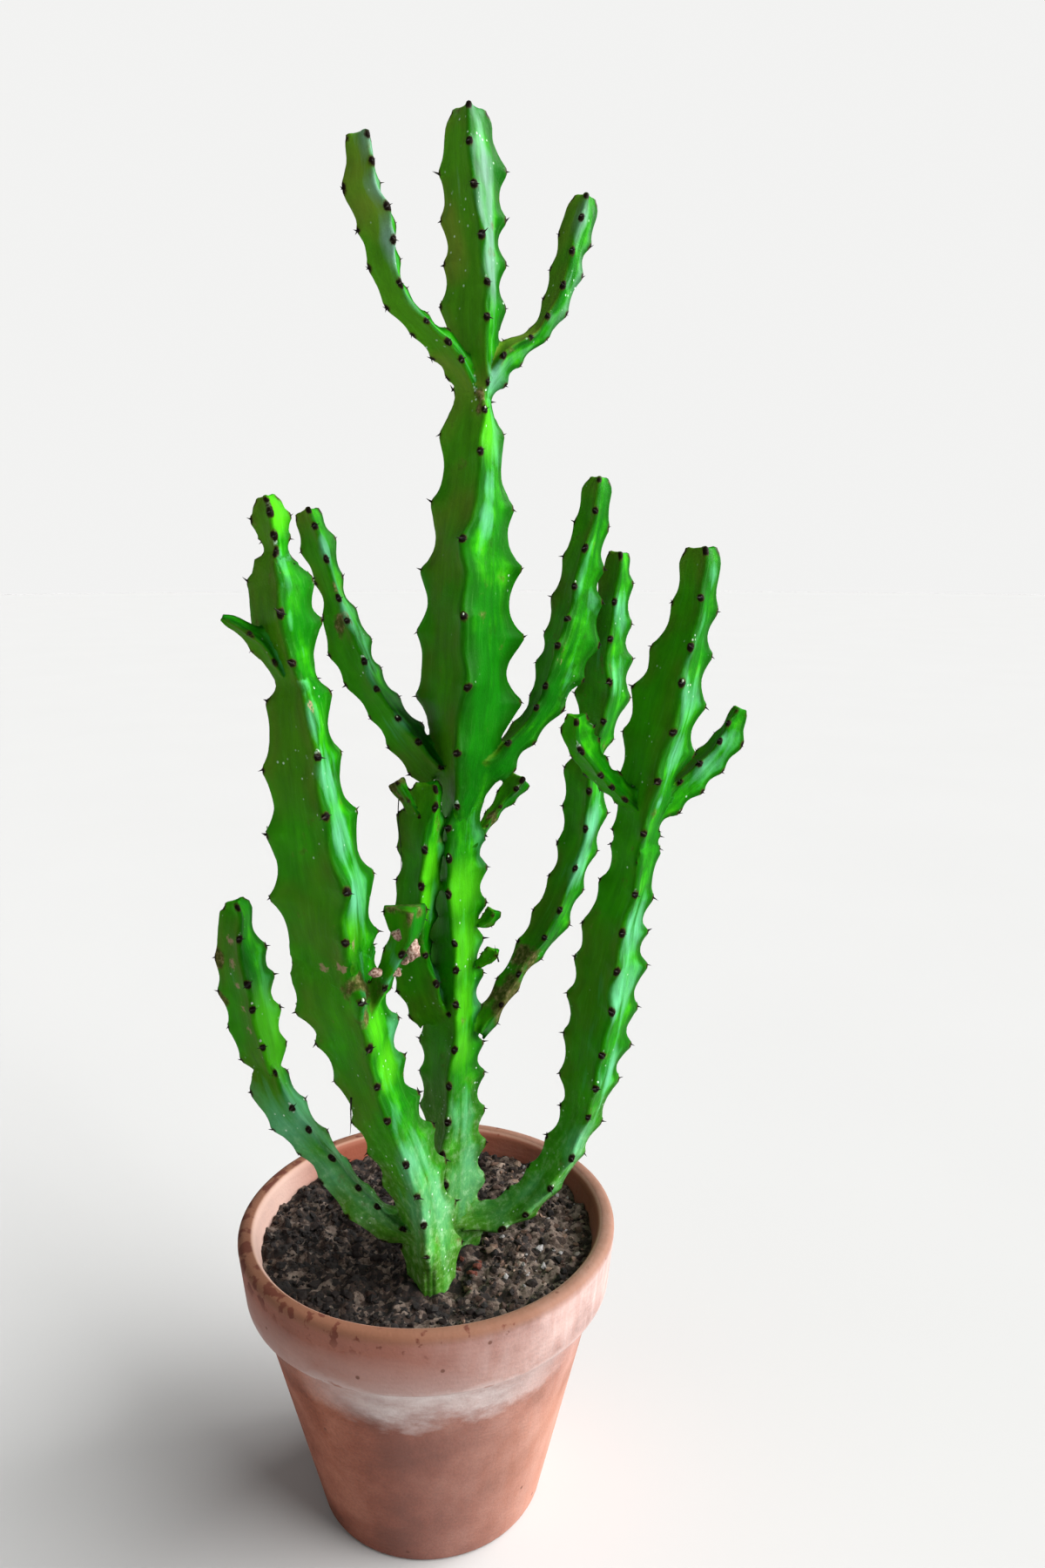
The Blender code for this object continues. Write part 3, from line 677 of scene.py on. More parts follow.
def record_growth(plant, grown_shoots):
    """Gives every point of the skin where it sits on its shoot, for the skin's material to read."""
    mesh = plant.data
    owner = [0] * len(mesh.vertices)
    for polygon in mesh.polygons:
        for index in polygon.vertices:
            owner[index] = mesh.attributes["shoot"].data[polygon.index].value
    lines = []
    for grown in grown_shoots:
        frames = [grown.frame_at(i * GROWTH_STEP) for i in range(int(grown.line.length / GROWTH_STEP) + 2)]
        lines.append((finder([values[0] for values in frames]), frames))
    growth, marks = [], {name: [] for name in ("edge", "tooth", "frost", "lee")}
    for vert, number in zip(mesh.vertices, owner):
        grown, (line_finder, frames) = grown_shoots[number], lines[number]
        i = line_finder.find(vert.co)[1]
        place, reach, front, side, _ = frames[i]
        distance = i * GROWTH_STEP
        x, y = (vert.co - place).dot(front), (vert.co - place).dot(side)
        angle = math.atan2(y, x)
        wing = round(angle / (math.tau / WINGS))
        off = angle - wing * math.tau / WINGS
        radius = math.hypot(x, y)
        crest = grown.crest(reach, distance, wing % WINGS)[0]
        low, high = grown.teeth_beside(distance, wing % WINGS)
        nearest = min(distance - low, high - distance)
        short_of_tip = math.hypot(reach - radius * math.cos(off), radius * math.sin(off))
        growth += (math.cos(angle) * reach, math.sin(angle) * reach, distance + number * SHOOT_OFFSET)
        marks["edge"].append(max(0.0, 1 - (crest - radius * math.cos(off)) / (EDGE_SHARE * reach)))
        small = min(1.0, reach / FULL_TOOTH_REACH) if i else 0.0
        marks["tooth"].append(small * max(0.0, 1 - math.hypot(nearest, short_of_tip) / TOOTH_CAP_RADIUS))
        # Painted glint: the pale frost of a leaf's scar above a tooth stands where a highlight falls
        frost_glint_strength = small * noise.cell(Vector((low / MM, wing, number)))
        from_scar = math.hypot(distance - low - FROST_GLINT_HEIGHT, short_of_tip * FROST_GLINT_NARROWING)
        marks["frost"].append(frost_glint_strength * max(0.0, 1 - from_scar / FROST_GLINT_RADIUS))
        # Painted shade: how far a point lies on the shoot's left, the side away from the key light
        marks["lee"].append(min(max(0.4 - 5 * y / max(radius, MM), 0.0), 1.0))
    places = np.array([vert.co for vert in mesh.vertices]) / MM
    for name, patches in MARKS.items():
        depths = [1 - np.linalg.norm(places - patch[:3], axis=1) / patch[3] for patch in patches]
        marks[name] = np.max(depths, axis=0).clip(0, 1)
    mesh.attributes.new("growth", "FLOAT_VECTOR", "POINT").data.foreach_set("vector", growth)
    for name, values in marks.items():
        mesh.attributes.new(name, "FLOAT", "POINT").data.foreach_set("value", values)


def cuticle():
    """Living stem skin, thinly waxed: dark green with little sheen, corky where old, olive as painted shade
    away from the key light, with painted sheen and painted light in patches.
    """
    material, add, set_surface = new_material("waxy_green_cuticle")
    place = add("TexCoord", out="Object")
    growth = add("Attribute", out="Vector", attribute_name="growth")
    edge, tooth, frost, lee, young, cork, scar, wax, deep = (
        add("Attribute", out="Fac", attribute_name=name)
        for name in ("edge", "tooth", "frost", "lee", "young", "cork", "scar", "wax", "deep"))
    height = add("SeparateXYZ", {"Vector": place}, out="Z")
    low, old, aloft, high = (
        add("MapRange", {"Value": height, 1: start, 2: end, 4: most})
        for start, end, most in (
            (0.32, 0.17, 0.12), (0.24, 0.155, 0.62), (0.46, 0.56, 1.0), (0.54, 0.60, 1.0)))

    # Mottling 14 mm across, clouds 45 mm, speckled places 18 mm, fibre 4 mm, bark 2.4 mm and pores 1.1 mm
    mottle, clouds, sown, fibre, bark, pores = (
        add("TexNoise", {"Vector": place, "Scale": scale, "Detail": detail, "Roughness": rough})
        for scale, detail, rough in ((70, 4, 0.6), (22, 2, 0.5), (55, 2, 0.5), (260, 4, 0.7), (420, 4, 0.7),
                                     (900, 2, 0.5)))
    # Washes 19 mm wide and 60 mm long run up the faces, with blotches 8 by 22 mm and streaks 1.5 by 30 mm
    wash, blotch, streak = (
        add("TexNoise", {"Vector": add("Mapping", {"Vector": growth, "Scale": (across, across, along)}),
                         "Scale": 1, "Detail": detail, "Roughness": rough})
        for across, along, detail, rough in ((52, 17, 2, 0.5), (125, 45, 5, 0.65), (700, 34, 3, 0.5)))

    base = add("ValToRGB", {"Fac": mottle}, stops=((0.34, "156400"), (0.50, "1f8c02"), (0.66, "3aae0a")))
    # Dark lush green in random washes, and painted shade where the listed shade patches lie
    lush_and_painted_shade = add("Math", {0: deep, 1: -0.40, 2: wash}, operation="MULTIPLY_ADD")
    lush_and_painted_shade = add("ValToRGB", {"Fac": lush_and_painted_shade}, stops=((0.34, 0.9), (0.50, 0.0)))

    # Painted shade: the side away from the key light is painted a shaded green and olive, more olive high up,
    # and browner beside each wing's edge
    shaded = add("Math", {0: lee, 1: 0.7}, operation="MULTIPLY")
    olive = add("ValToRGB", {"Fac": clouds}, stops=((0.44, 0.0), (0.60, 0.75)))
    olive = add("Math", {0: aloft, 1: 0.3, 2: olive}, operation="MULTIPLY_ADD")
    olive = add("Math", {0: olive, 1: lee}, operation="MULTIPLY")
    shaded_olive = add("Mix", {0: aloft, 6: "44780c", 7: "6e8c28"}, out=2, data_type="RGBA")
    band = add("ValToRGB", {"Fac": edge}, stops=((0.1, 0.0), (0.6, 0.5), (0.9, 0.25)))
    patchy = add("ValToRGB", {"Fac": clouds}, stops=((0.42, 0.0), (0.60, 1.0)))
    for mask in (patchy, lee):
        band = add("Math", {0: band, 1: mask}, operation="MULTIPLY")

    # Painted shade: on the side the key light reaches, the edge is painted darker where the face turns away
    painted_edge_shade = add("ValToRGB", {"Fac": edge}, stops=((0.18, 0.0), (0.62, 0.9)))
    painted_edge_shade = add("Mix", {0: lee, 2: painted_edge_shade, 3: 0.0}, data_type="FLOAT")

    # Wax lies bluish white in long ragged patches, more of it low on the stems, and greyer at the top. The
    # listed wax patches are also painted sheen where the key light's highlight falls, and there is less on
    # the shaded side
    waxy_and_painted_sheen = add("Math", {0: blotch, 1: 0.3, 2: wash}, operation="MULTIPLY_ADD")
    waxy_and_painted_sheen = add("Math", {0: waxy_and_painted_sheen, 1: 0.15}, operation="SUBTRACT")
    for mask, share in ((wax, 0.40), (deep, -0.30), (lee, -0.14), (painted_edge_shade, -0.08), (high, 0.07), (low, 1.0)):
        waxy_and_painted_sheen = add("Math", {0: mask, 1: share, 2: waxy_and_painted_sheen}, operation="MULTIPLY_ADD")
    waxy_and_painted_sheen = add("ValToRGB", {"Fac": waxy_and_painted_sheen}, stops=((0.55, 0.0), (0.86, 0.85)))
    wax_and_sheen_colour = add("Mix", {0: high, 6: "62b486", 7: "749e88"}, out=2, data_type="RGBA")
    fibre = add("ValToRGB", {"Fac": fibre}, stops=((0.35, "3f7a1c"), (0.52, "66a03e"), (0.66, "a4cc8c")))

    # New growth is lime, and the listed lime patches are also painted light; the lime shows only on the side
    # the key light reaches
    fresh_and_painted_light = add("Mix", {0: lee, 2: young, 3: 0.0}, data_type="FLOAT")
    fresh_and_painted_light = add("ValToRGB", {"Fac": fresh_and_painted_light}, stops=((0.0, 0.0), (0.55, 0.9)))
    for mask, coat in ((lush_and_painted_shade, "0a6c03"), (shaded, "3a9607"), (olive, shaded_olive), (band, "527020"),
                       (painted_edge_shade, "0f5a02"), (waxy_and_painted_sheen, wax_and_sheen_colour), (old, fibre), (fresh_and_painted_light, "48b40e")):
        base = add("Mix", {0: mask, 6: base, 7: coat}, out=2, data_type="RGBA")
    tone = add("ValToRGB", {"Fac": blotch}, stops=((0.30, 0.66), (0.70, 1.0)))
    base = add("Mix", {0: 1.0, 6: base, 7: tone}, out=2, data_type="RGBA", blend_type="MULTIPLY")

    pale = add("ValToRGB", {"Fac": streak}, stops=((0.56, 0.0), (0.74, 0.16)))
    # No pale streaks in the painted shade
    pale = add("Mix", {0: deep, 2: pale, 3: 0.0}, data_type="FLOAT")

    # Wax specks under 1 mm across, drawn at 1 mm so that they show
    speck = add("TexVoronoi", {"Vector": place, "Scale": 260})
    speck = add("ValToRGB", {"Fac": speck}, stops=((0.10, 1.0), (0.17, 0.0)))
    # Fewer specks where shade is painted
    for mask, share in ((low, 1.0), (high, 0.10), (deep, -0.08)):
        sown = add("Math", {0: mask, 1: share, 2: sown}, operation="MULTIPLY_ADD")
    sown = add("ValToRGB", {"Fac": sown}, stops=((0.60, 0.0), (0.72, 0.8)))
    speck = add("Math", {0: speck, 1: sown}, operation="MULTIPLY")

    # A leaf's scar just above a tooth is ragged and white, and is also a painted glint
    frost = add("Math", {0: pores, 1: frost}, operation="MULTIPLY")
    frost = add("ValToRGB", {"Fac": frost}, stops=((0.14, 0.0), (0.26, 0.85)))

    # Cork is brown, dry and cracked, and healed wounds are tan with torn edges
    corky = add("Math", {0: mottle, 1: 0.5}, operation="SUBTRACT")
    corky = add("Math", {0: corky, 1: 2.2, 2: cork}, operation="MULTIPLY_ADD")
    corky = add("ValToRGB", {"Fac": corky}, stops=((0.30, 0.0), (0.62, 0.9)))
    brown_bark = add("ValToRGB", {"Fac": bark}, stops=((0.3, "27260e"), (0.5, "4e4a24"), (0.7, "8a7a56")))
    torn = add("Math", {0: bark, 1: 0.5}, operation="SUBTRACT")
    healed = add("Math", {0: torn, 1: 2.4, 2: scar}, operation="MULTIPLY_ADD")
    healed = add("ValToRGB", {"Fac": healed}, stops=((0.22, 0.0), (0.55, 0.8)))
    healed = add("Math", {0: healed, 1: add("MapRange", {"Value": scar, 2: 0.15})}, operation="MULTIPLY")

    # Each tooth is capped with dark horn
    cap = add("Math", {0: torn, 1: 0.7, 2: tooth}, operation="MULTIPLY_ADD")
    brown = add("ValToRGB", {"Fac": cap}, stops=((0.20, 0.0), (0.42, 0.8)))
    dark = add("ValToRGB", {"Fac": cap}, stops=((0.36, 0.0), (0.50, 1.0)))
    for mask, coat in ((pale, "5cab4a"), (speck, "d2ead6"), (frost, "b9d2bd"), (corky, brown_bark),
                       (healed, "9a7c66"), (brown, "3a2c12"), (dark, "150e08")):
        base = add("Mix", {0: mask, 6: base, 7: coat}, out=2, data_type="RGBA")

    rough = add("MapRange", {"Value": mottle, 1: 0.3, 2: 0.7, 3: 0.40, 4: 0.58})
    rough = add("Mix", {0: corky, 2: rough, 3: 0.85}, data_type="FLOAT")
    relief = add("Math", {0: streak, 1: 0.6, 2: pores}, operation="MULTIPLY_ADD")
    relief = add("Math", {0: corky, 1: bark, 2: relief}, operation="MULTIPLY_ADD")
    bump = add("Bump", {"Height": relief, "Strength": 0.35, "Distance": 0.5 * MM})
    # Thin wax has little shine
    set_surface({
        "Base Color": base, "Roughness": rough, "Normal": bump, "Specular IOR Level": 0.04, "IOR": 1.4})
    return material


def grow_plant(name, shoots, replaced):
    """Grows a rooted plant with all its shoots as one skin."""
    settings = bpy.context.scene.euphorbia_stems
    grown_shoots = [Grown(shoot) for shoot in shoots]
    plant = join_shoots(grown_shoots, settings, name)
    soften(plant, settings)
    record_growth(plant, grown_shoots)
    material = bpy.data.materials.get("waxy_green_cuticle") or cuticle()
    plant.data.materials.clear()
    plant.data.materials.append(material)
    for polygon in plant.data.polygons:
        polygon.material_index = 0
    dress(plant, "green_stem", replaced)
    return plant


# Spines

def basis(out, across, along, place):
    """The matrix that puts a shape made along +Z on a tooth, standing outwards."""
    matrix = Matrix((across, along, out)).transposed().to_4x4()
    matrix.translation = place
    return matrix


def tooth_places(grown):
    """The tip of each tooth on the free length of a shoot, with directions outwards, across and along."""
    for wing, teeth in enumerate(grown.teeth):
        for distance in teeth:
            if BARE_FOOT < distance < grown.line.length - BARE_TOP:
                place, reach, front, side, along = grown.frame_at(distance)
                out, across = wing_axes(front, side, wing)
                yield place + out * reach, out, across, along, reach


def horn():
    """Dry horn of the spines: nearly black brown, dull, and greyer at its worn ends."""
    material, add, set_surface = new_material("dark_dry_horn")
    # Wear 1.7 mm across
    wear = add("TexNoise", {"Vector": add("TexCoord", out="Object"), "Scale": 600, "Detail": 3})
    colour = add("ValToRGB", {"Fac": wear}, stops=((0.35, "0b0704"), (0.58, "1a110a"), (0.80, "4a3826")))
    bump = add("Bump", {"Height": wear, "Strength": 0.4, "Distance": 0.2 * MM})
    set_surface({"Base Color": colour, "Normal": bump, "Roughness": 0.7, "Specular IOR Level": 0.3})
    return material


def leaf_scar_and_glint():
    """Dry scale left above a tooth by a fallen leaf: powdery greyish white, matt, and also a painted glint.
    """
    material, add, set_surface = new_material("chalky_leaf_scar")
    # Dust 1.1 mm across
    dust = add("TexNoise", {"Vector": add("TexCoord", out="Object"), "Scale": 900})
    colour = add("ValToRGB", {"Fac": dust}, stops=((0.3, "8fa585"), (0.7, "c6d6c0")))
    set_surface({"Base Color": colour, "Roughness": 0.8})
    return material


def make_spines(name, shoots, plant):
    """Seats a scale with a splayed pair of spines on each tooth, and here and there a leaf's scar, also a
    painted glint.
    """
    settings = bpy.context.scene.euphorbia_spines
    chance = random.Random(name)
    skin_finder = finder([vert.co for vert in plant.data.vertices])
    bm = bmesh.new()
    for shoot in shoots:
        for tip, out, across, along, reach in tooth_places(Grown(shoot)):
            skin, _, away = skin_finder.find(tip)
            if away > BURIED_TIP or tip.z < SOIL_LEVEL + BARE_COLLAR:
                continue
            size = min(1.0, 0.3 + reach / FULL_SPINE_REACH) * chance.uniform(0.7, 1.2)
            seat = basis(out, across, along, skin - out * 0.15 * MM)
            seat @= Matrix.Rotation(chance.uniform(-0.6, 0.6), 4, "Z")
            scale = add_lump(bm, seat, [radius * MM * size for radius in SCALE_RADII])
            roughen(scale, chance, MM * size)
            for way in (-1, 1):
                lean = settings.splay * way * chance.uniform(0.8, 1.15)
                pitch = math.radians(chance.uniform(-22, 12))
                length = settings.length * size * chance.uniform(0.75, 1.2)
                aim = Matrix.Rotation(lean, 4, "Y") @ Matrix.Rotation(pitch, 4, "X")
                bmesh.ops.create_cone(
                    bm, cap_ends=True, cap_tris=True, segments=5, radius1=settings.radius * size,
                    radius2=0.03 * MM, depth=length,
                    matrix=seat @ aim @ Matrix.Translation((0, 0, length / 2)))
            # Pale leaf scars, which are also painted glints above the teeth
            if chance.random() < LEAF_SCAR_GLINT_SHARE and reach > LEAF_SCAR_GLINT_REACH:
                spot = skin_finder.find(tip + along * LEAF_SCAR_GLINT_HEIGHT * size)[0]
                made = add_lump(bm, basis(out, across, along, spot),
                                [radius * MM * size for radius in LEAF_SCAR_GLINT_RADII])
                for face in {face for vert in made for face in vert.link_faces}:
                    face.material_index = 1
    piece = object_from(bm, name, bpy.data.materials.get("dark_dry_horn") or horn())
    piece.data.materials.append(bpy.data.materials.get("chalky_leaf_scar") or leaf_scar_and_glint())
    dress(piece, "green_stem")
    return piece


# Scars and threads

def callus():
    """Healed wound tissue: pinkish beige, matt and slightly pitted."""
    material, add, set_surface = new_material("pink_callus")
    # Pits 1.2 mm across
    pits = add("TexNoise", {"Vector": add("TexCoord", out="Object"), "Scale": 800, "Detail": 3})
    colour = add("ValToRGB", {"Fac": pits}, stops=((0.34, "4a3022"), (0.46, "8a6656"), (0.62, "bda295")))
    bump = add("Bump", {"Height": pits, "Strength": 0.5, "Distance": 0.4 * MM})
    set_surface({"Base Color": colour, "Normal": bump, "Roughness": 0.75})
    return material


def make_scars():
    """Adds the healed wounds beside the cut arm, and the dry threads."""
    bm = bmesh.new()
    for place, radii in CALLUS_BLOBS:
        middle = Vector(place) * MM
        for vert in add_lump(bm, Matrix.Translation(middle), Vector(radii) * MM, subdivisions=3):
            vert.co += (vert.co - middle) * noise.noise(vert.co / CALLUS_LUMP) * 0.4
    piece = object_from(bm, "callus", callus())
    dress(piece, "green_stem")

    bm = bmesh.new()
    for number, (start, end, radius) in enumerate(DRY_THREADS):
        start, end = Vector(start) * MM, Vector(end) * MM
        along = (end - start).normalized()
        across = along.orthogonal().normalized()
        other = along.cross(across)
        rings = []
        for step in range(THREAD_STEPS + 1):
            share = step / THREAD_STEPS
            sway = noise.noise_vector(Vector((number * 7.3, share * 2.5, 0))) * (end - start).length * 0.05
            centre = start.lerp(end, share) + sway * math.sin(math.pi * share)
            size = radius * MM * (1.15 - share)
            rings.append([centre + (across * math.cos(turn) + other * math.sin(turn)) * size
                          for turn in (i * math.tau / 6 for i in range(6))])
        thread = skin_over(rings, 0)
        mesh = bpy.data.meshes.new("thread")
        thread.to_mesh(mesh)
        thread.free()
        bm.from_mesh(mesh)
        bpy.data.meshes.remove(mesh)
    piece = object_from(bm, "dry_threads", bpy.data.materials["dark_dry_horn"])
    dress(piece, "green_stem")


# Pot

def terracotta():
    """Fired earthenware, thrown and unglazed: dry and matt, with seeped lime salts and dark stains."""
    material, add, set_surface = new_material("unglazed_terracotta")
    settings = bpy.context.scene.euphorbia_pot
    place = add("TexCoord", out="Object")
    x, y, z = add("SeparateXYZ", {"Vector": place}).node.outputs
    radius = add("VectorMath", {0: add("CombineXYZ", {"X": x, "Y": y})}, out="Value", operation="LENGTH")

    # Where each effect starts and ends, and how strong it is there: first across the pot, then up it
    warm, mauve, lime_and_painted_light, leftward, crust, across = (
        add("MapRange", {"Value": x, 1: start, 2: end, 3: first, 4: last}) for start, end, first, last in (
            (0.0, 0.06, 0.0, 0.6), (0.055, 0.0, 0.0, 0.6), (-0.02, 0.085, 0.0, 0.6),
            (0.05, -0.09, -0.08, 0.07), (-0.050, -0.078, 0.0, 0.8), (-0.09, 0.09, 0.0, 1.0)))
    low, collar, upper, lip, stainable, above_soil = (
        add("MapRange", {"Value": z, 1: start, 2: end, 3: first, 4: last}) for start, end, first, last in (
            (0.11, 0.07, 0.0, 1.0), (0.118, 0.121, 0.0, 1.0), (0.105, 0.122, 0.45, 1.1),
            (0.1495, 0.1535, 0.0, 1.0), (0.1415, 0.1500, 0.0, 1.0), (0.138, 0.1405, 0.0, 1.0)))

    # Clay mottled 33 mm across, grog 1.3 mm and blots 7 mm, with seeped patches 38 mm and strokes 6 mm wide
    clouds, grog, blots = (
        add("TexNoise", {"Vector": place, "Scale": scale, "Detail": detail, "Roughness": rough})
        for scale, detail, rough in ((30, 5, 0.6), (750, 3, 0.5), (150, 3, 0.5)))
    seep, strokes = (
        add("TexNoise", {"Vector": add("Mapping", {"Vector": place, "Scale": (1, 1, upright)}),
                         "Scale": scale, "Detail": detail, "Roughness": rough})
        for upright, scale, detail, rough in ((1.8, 26, 6, 0.65), (0.12, 170, 3, 0.5)))

    # The clay is warmer low on the right, mauve at the front, and redder where the collar is not bleached
    clay = add("ValToRGB", {"Fac": clouds}, stops=((0.34, "6a331b"), (0.5, settings.clay), (0.66, "a3624a")))
    grit = add("ValToRGB", {"Fac": grog}, stops=((0.30, 0.78), (0.62, 1.06)))
    clay = add("Mix", {0: 1.0, 6: clay, 7: grit}, out=2, data_type="RGBA", blend_type="MULTIPLY")
    warm = add("Math", {0: warm, 1: low}, operation="MULTIPLY")
    dusk = add("ValToRGB", {"Fac": across}, stops=((0.22, 0.0), (0.42, 0.6), (0.58, 0.5), (0.80, 0.0)))
    mauve = add("Math", {0: mauve, 1: collar}, operation="MULTIPLY")
    for mask, coat in ((warm, "b36d49"), (dusk, "7c5148"), (mauve, "8c5341")):
        clay = add("Mix", {0: mask, 6: clay, 7: coat}, out=2, data_type="RGBA")

    # Lime over the collar's lower half, a line at its foot, and a pale band below it at the front
    wavy = add("Math", {0: seep, 1: 0.030, 2: z}, operation="MULTIPLY_ADD")
    lime = add("ValToRGB", {"Fac": add("MapRange", {"Value": wavy, 1: 0.118, 2: 0.178})}, stops=(
        (0.26, 0.0), (0.30, 0.85), (0.38, 0.34), (0.54, 0.20), (0.68, 0.04)))
    body = add("ValToRGB", {"Fac": add("MapRange", {"Value": wavy, 1: 0.08, 2: 0.14})}, stops=(
        (0.48, 0.0), (0.66, 0.85), (0.88, 1.0), (0.95, 0.45)))
    front = add("ValToRGB", {"Fac": across}, stops=((0.15, 0.1), (0.42, 1.0), (0.62, 0.9), (0.85, 0.3)))
    body = add("Math", {0: body, 1: front}, operation="MULTIPLY")
    body = add("Mix", {0: collar, 2: body, 3: 0.0}, data_type="FLOAT")
    lime = add("Math", {0: lime, 1: body}, operation="MAXIMUM")
    patch = add("ValToRGB", {"Fac": seep}, stops=((0.32, 0.4), (0.56, 1.0)))
    lime = add("Math", {0: lime, 1: patch}, operation="MULTIPLY")

    # A film of lime pales the right, in upright strokes, less of it below the collar; its paleness on the
    # right is also painted light from the key
    film = add("ValToRGB", {"Fac": clouds}, stops=((0.35, 0.5), (0.65, 1.0)))
    strokes = add("MapRange", {"Value": strokes, 1: 0.35, 2: 0.65, 3: 0.82, 4: 1.18})
    for mask in (lime_and_painted_light, strokes, upper):
        film = add("Math", {0: film, 1: mask}, operation="MULTIPLY")
    lime = add("Math", {0: lime, 1: film}, operation="MAXIMUM")

    # Tan lip, pale on its inner edge, where it is worn and also carries a painted highlight line, with dark
    # red-brown stains, most of them on the left
    tan = add("Math", {0: lip, 1: 0.8}, operation="MULTIPLY")
    stained = add("Math", {0: blots, 1: leftward}, operation="ADD")
    stained = add("ValToRGB", {"Fac": stained}, stops=((0.58, 0.0), (0.63, 0.85)))
    stained = add("Math", {0: stained, 1: stainable}, operation="MULTIPLY")
    worn_edge_and_highlight = add("ValToRGB", {"Fac": add("MapRange", {"Value": radius, 1: 0.0860, 2: 0.0920})}, stops=(
        (0.10, 0.0), (0.25, 0.9), (0.45, 0.8), (0.65, 0.0)))
    worn_edge_and_highlight = add("Math", {0: worn_edge_and_highlight, 1: lip}, operation="MULTIPLY")

    # Dark flecks about 2 mm across
    fleck = add("TexVoronoi", {"Vector": place, "Scale": 60})
    fleck = add("ValToRGB", {"Fac": fleck}, stops=((0.045, 0.8), (0.075, 0.0)))

    # The inside wall is damp and dark, and crusted with lime on the left
    wall = add("Mix", {0: crust, 6: "8c432b", 7: "d0b4a8"}, out=2, data_type="RGBA")
    inside = add("MapRange", {"Value": radius, 1: 0.0895, 2: 0.0880, 4: 0.85})
    inside = add("Math", {0: inside, 1: above_soil}, operation="MULTIPLY")
    for mask, coat in ((lime, settings.bloom), (tan, "7c5138"), (stained, "5b2413"), (worn_edge_and_highlight, "cba48f"),
                       (fleck, "5a3122"), (inside, wall)):
        clay = add("Mix", {0: mask, 6: clay, 7: coat}, out=2, data_type="RGBA")

    # Turning marks 3 mm apart, broken up by the clay's own unevenness
    marks = add("Math", {0: clouds, 1: 0.012, 2: z}, operation="MULTIPLY_ADD")
    marks = add("Math", {0: marks, 1: math.tau / (3 * MM)}, operation="MULTIPLY")
    marks = add("Math", {0: marks}, operation="SINE")
    relief = grog
    for mask, share in ((marks, 0.12), (clouds, 1.5)):
        relief = add("Math", {0: mask, 1: share, 2: relief}, operation="MULTIPLY_ADD")
    bump = add("Bump", {"Height": relief, "Strength": 0.3, "Distance": 0.6 * MM})
    set_surface({"Base Color": clay, "Normal": bump, "Roughness": 0.88, "IOR": 1.5})
    return material


def turned(profile, sides):
    """A closed body of revolution from a profile of radii and heights that starts and ends on the axis."""
    bm = bmesh.new()
    corners = [bm.verts.new((radius, 0, height)) for radius, height in profile]
    edges = [bm.edges.new(pair) for pair in zip(corners, corners[1:])]
    bmesh.ops.spin(bm, geom=corners + edges, cent=(0, 0, 0), axis=(0, 0, 1), angle=math.tau, steps=sides,
                   use_merge=True)
    bmesh.ops.remove_doubles(bm, verts=bm.verts, dist=1e-6)
    bmesh.ops.recalc_face_normals(bm, faces=bm.faces)
    return bm


def round_edges(bm, height, radius, offset, segments):
    """Bevels the ring of edges at a height and radius."""
    ring = [edge for edge in bm.edges
            if all(abs(v.co.z - height) < 1e-6 and abs(v.co.xy.length - radius) < 1e-5 for v in edge.verts)]
    bmesh.ops.bevel(bm, geom=ring, offset=offset, offset_type="OFFSET", segments=segments, profile=0.5,
                    affect="EDGES", material=-1)


def inner_radius(height):
    """The radius of the pot's inside at a height."""
    share = (height - FLOOR_THICKNESS) / (POT_HEIGHT - FLOOR_THICKNESS)
    return FLOOR_INNER_RADIUS + share * (MOUTH_RADIUS - FLOOR_INNER_RADIUS)


def make_pot():
    """Turns the pot, rounds its edges, warps it slightly and drills its drain holes."""
    settings = bpy.context.scene.euphorbia_pot
    collar_foot = POT_HEIGHT - COLLAR_HEIGHT
    bm = turned([
        (0, FLOOR_THICKNESS), (FLOOR_INNER_RADIUS, FLOOR_THICKNESS), (MOUTH_RADIUS, POT_HEIGHT),
        (RIM_RADIUS, POT_HEIGHT), (COLLAR_FOOT_RADIUS, collar_foot), (BODY_TOP_RADIUS, collar_foot - 1 * MM),
        (BASE_RADIUS, 0), (0, 0)], settings.sides)
    for height, radius, offset, segments in (
            (POT_HEIGHT, MOUTH_RADIUS, RIM_ROUNDING, 5), (POT_HEIGHT, RIM_RADIUS, RIM_ROUNDING, 5),
            (collar_foot, COLLAR_FOOT_RADIUS, 1.8 * MM, 3),
            (collar_foot - 1 * MM, BODY_TOP_RADIUS, 1.5 * MM, 3), (0, BASE_RADIUS, 2 * MM, 3)):
        round_edges(bm, height, radius, offset, segments)
    for vert in bm.verts:
        if vert.co.z > 0.5 * MM:
            wave = noise.noise(vert.co / POT_WAVE) * POT_WAVE_HEIGHT
            vert.co.xy *= 1 + wave / max(vert.co.xy.length, 30 * MM)
    pot = object_from(bm, "terracotta_pot", terracotta())
    cutters = bmesh.new()
    for number in range(DRAIN_COUNT):
        turn = math.radians(90 + number * 360 / DRAIN_COUNT)
        middle = (DRAIN_CIRCLE_RADIUS * math.cos(turn), DRAIN_CIRCLE_RADIUS * math.sin(turn), 0)
        bmesh.ops.create_cone(
            cutters, cap_ends=True, segments=24, radius1=DRAIN_RADIUS, radius2=DRAIN_RADIUS, depth=40 * MM,
            matrix=Matrix.Translation(middle))
    drains = object_from(cutters, "drains", None)
    cut = pot.modifiers.new("drains", "BOOLEAN")
    cut.operation = "DIFFERENCE"
    cut.object = drains
    apply_modifiers(pot)
    bpy.data.objects.remove(drains, do_unlink=True)
    pot.data.shade_smooth()
    pot.data.set_sharp_from_angle(angle=math.radians(50))
    dress(pot, "terracotta", "pot")


# Soil

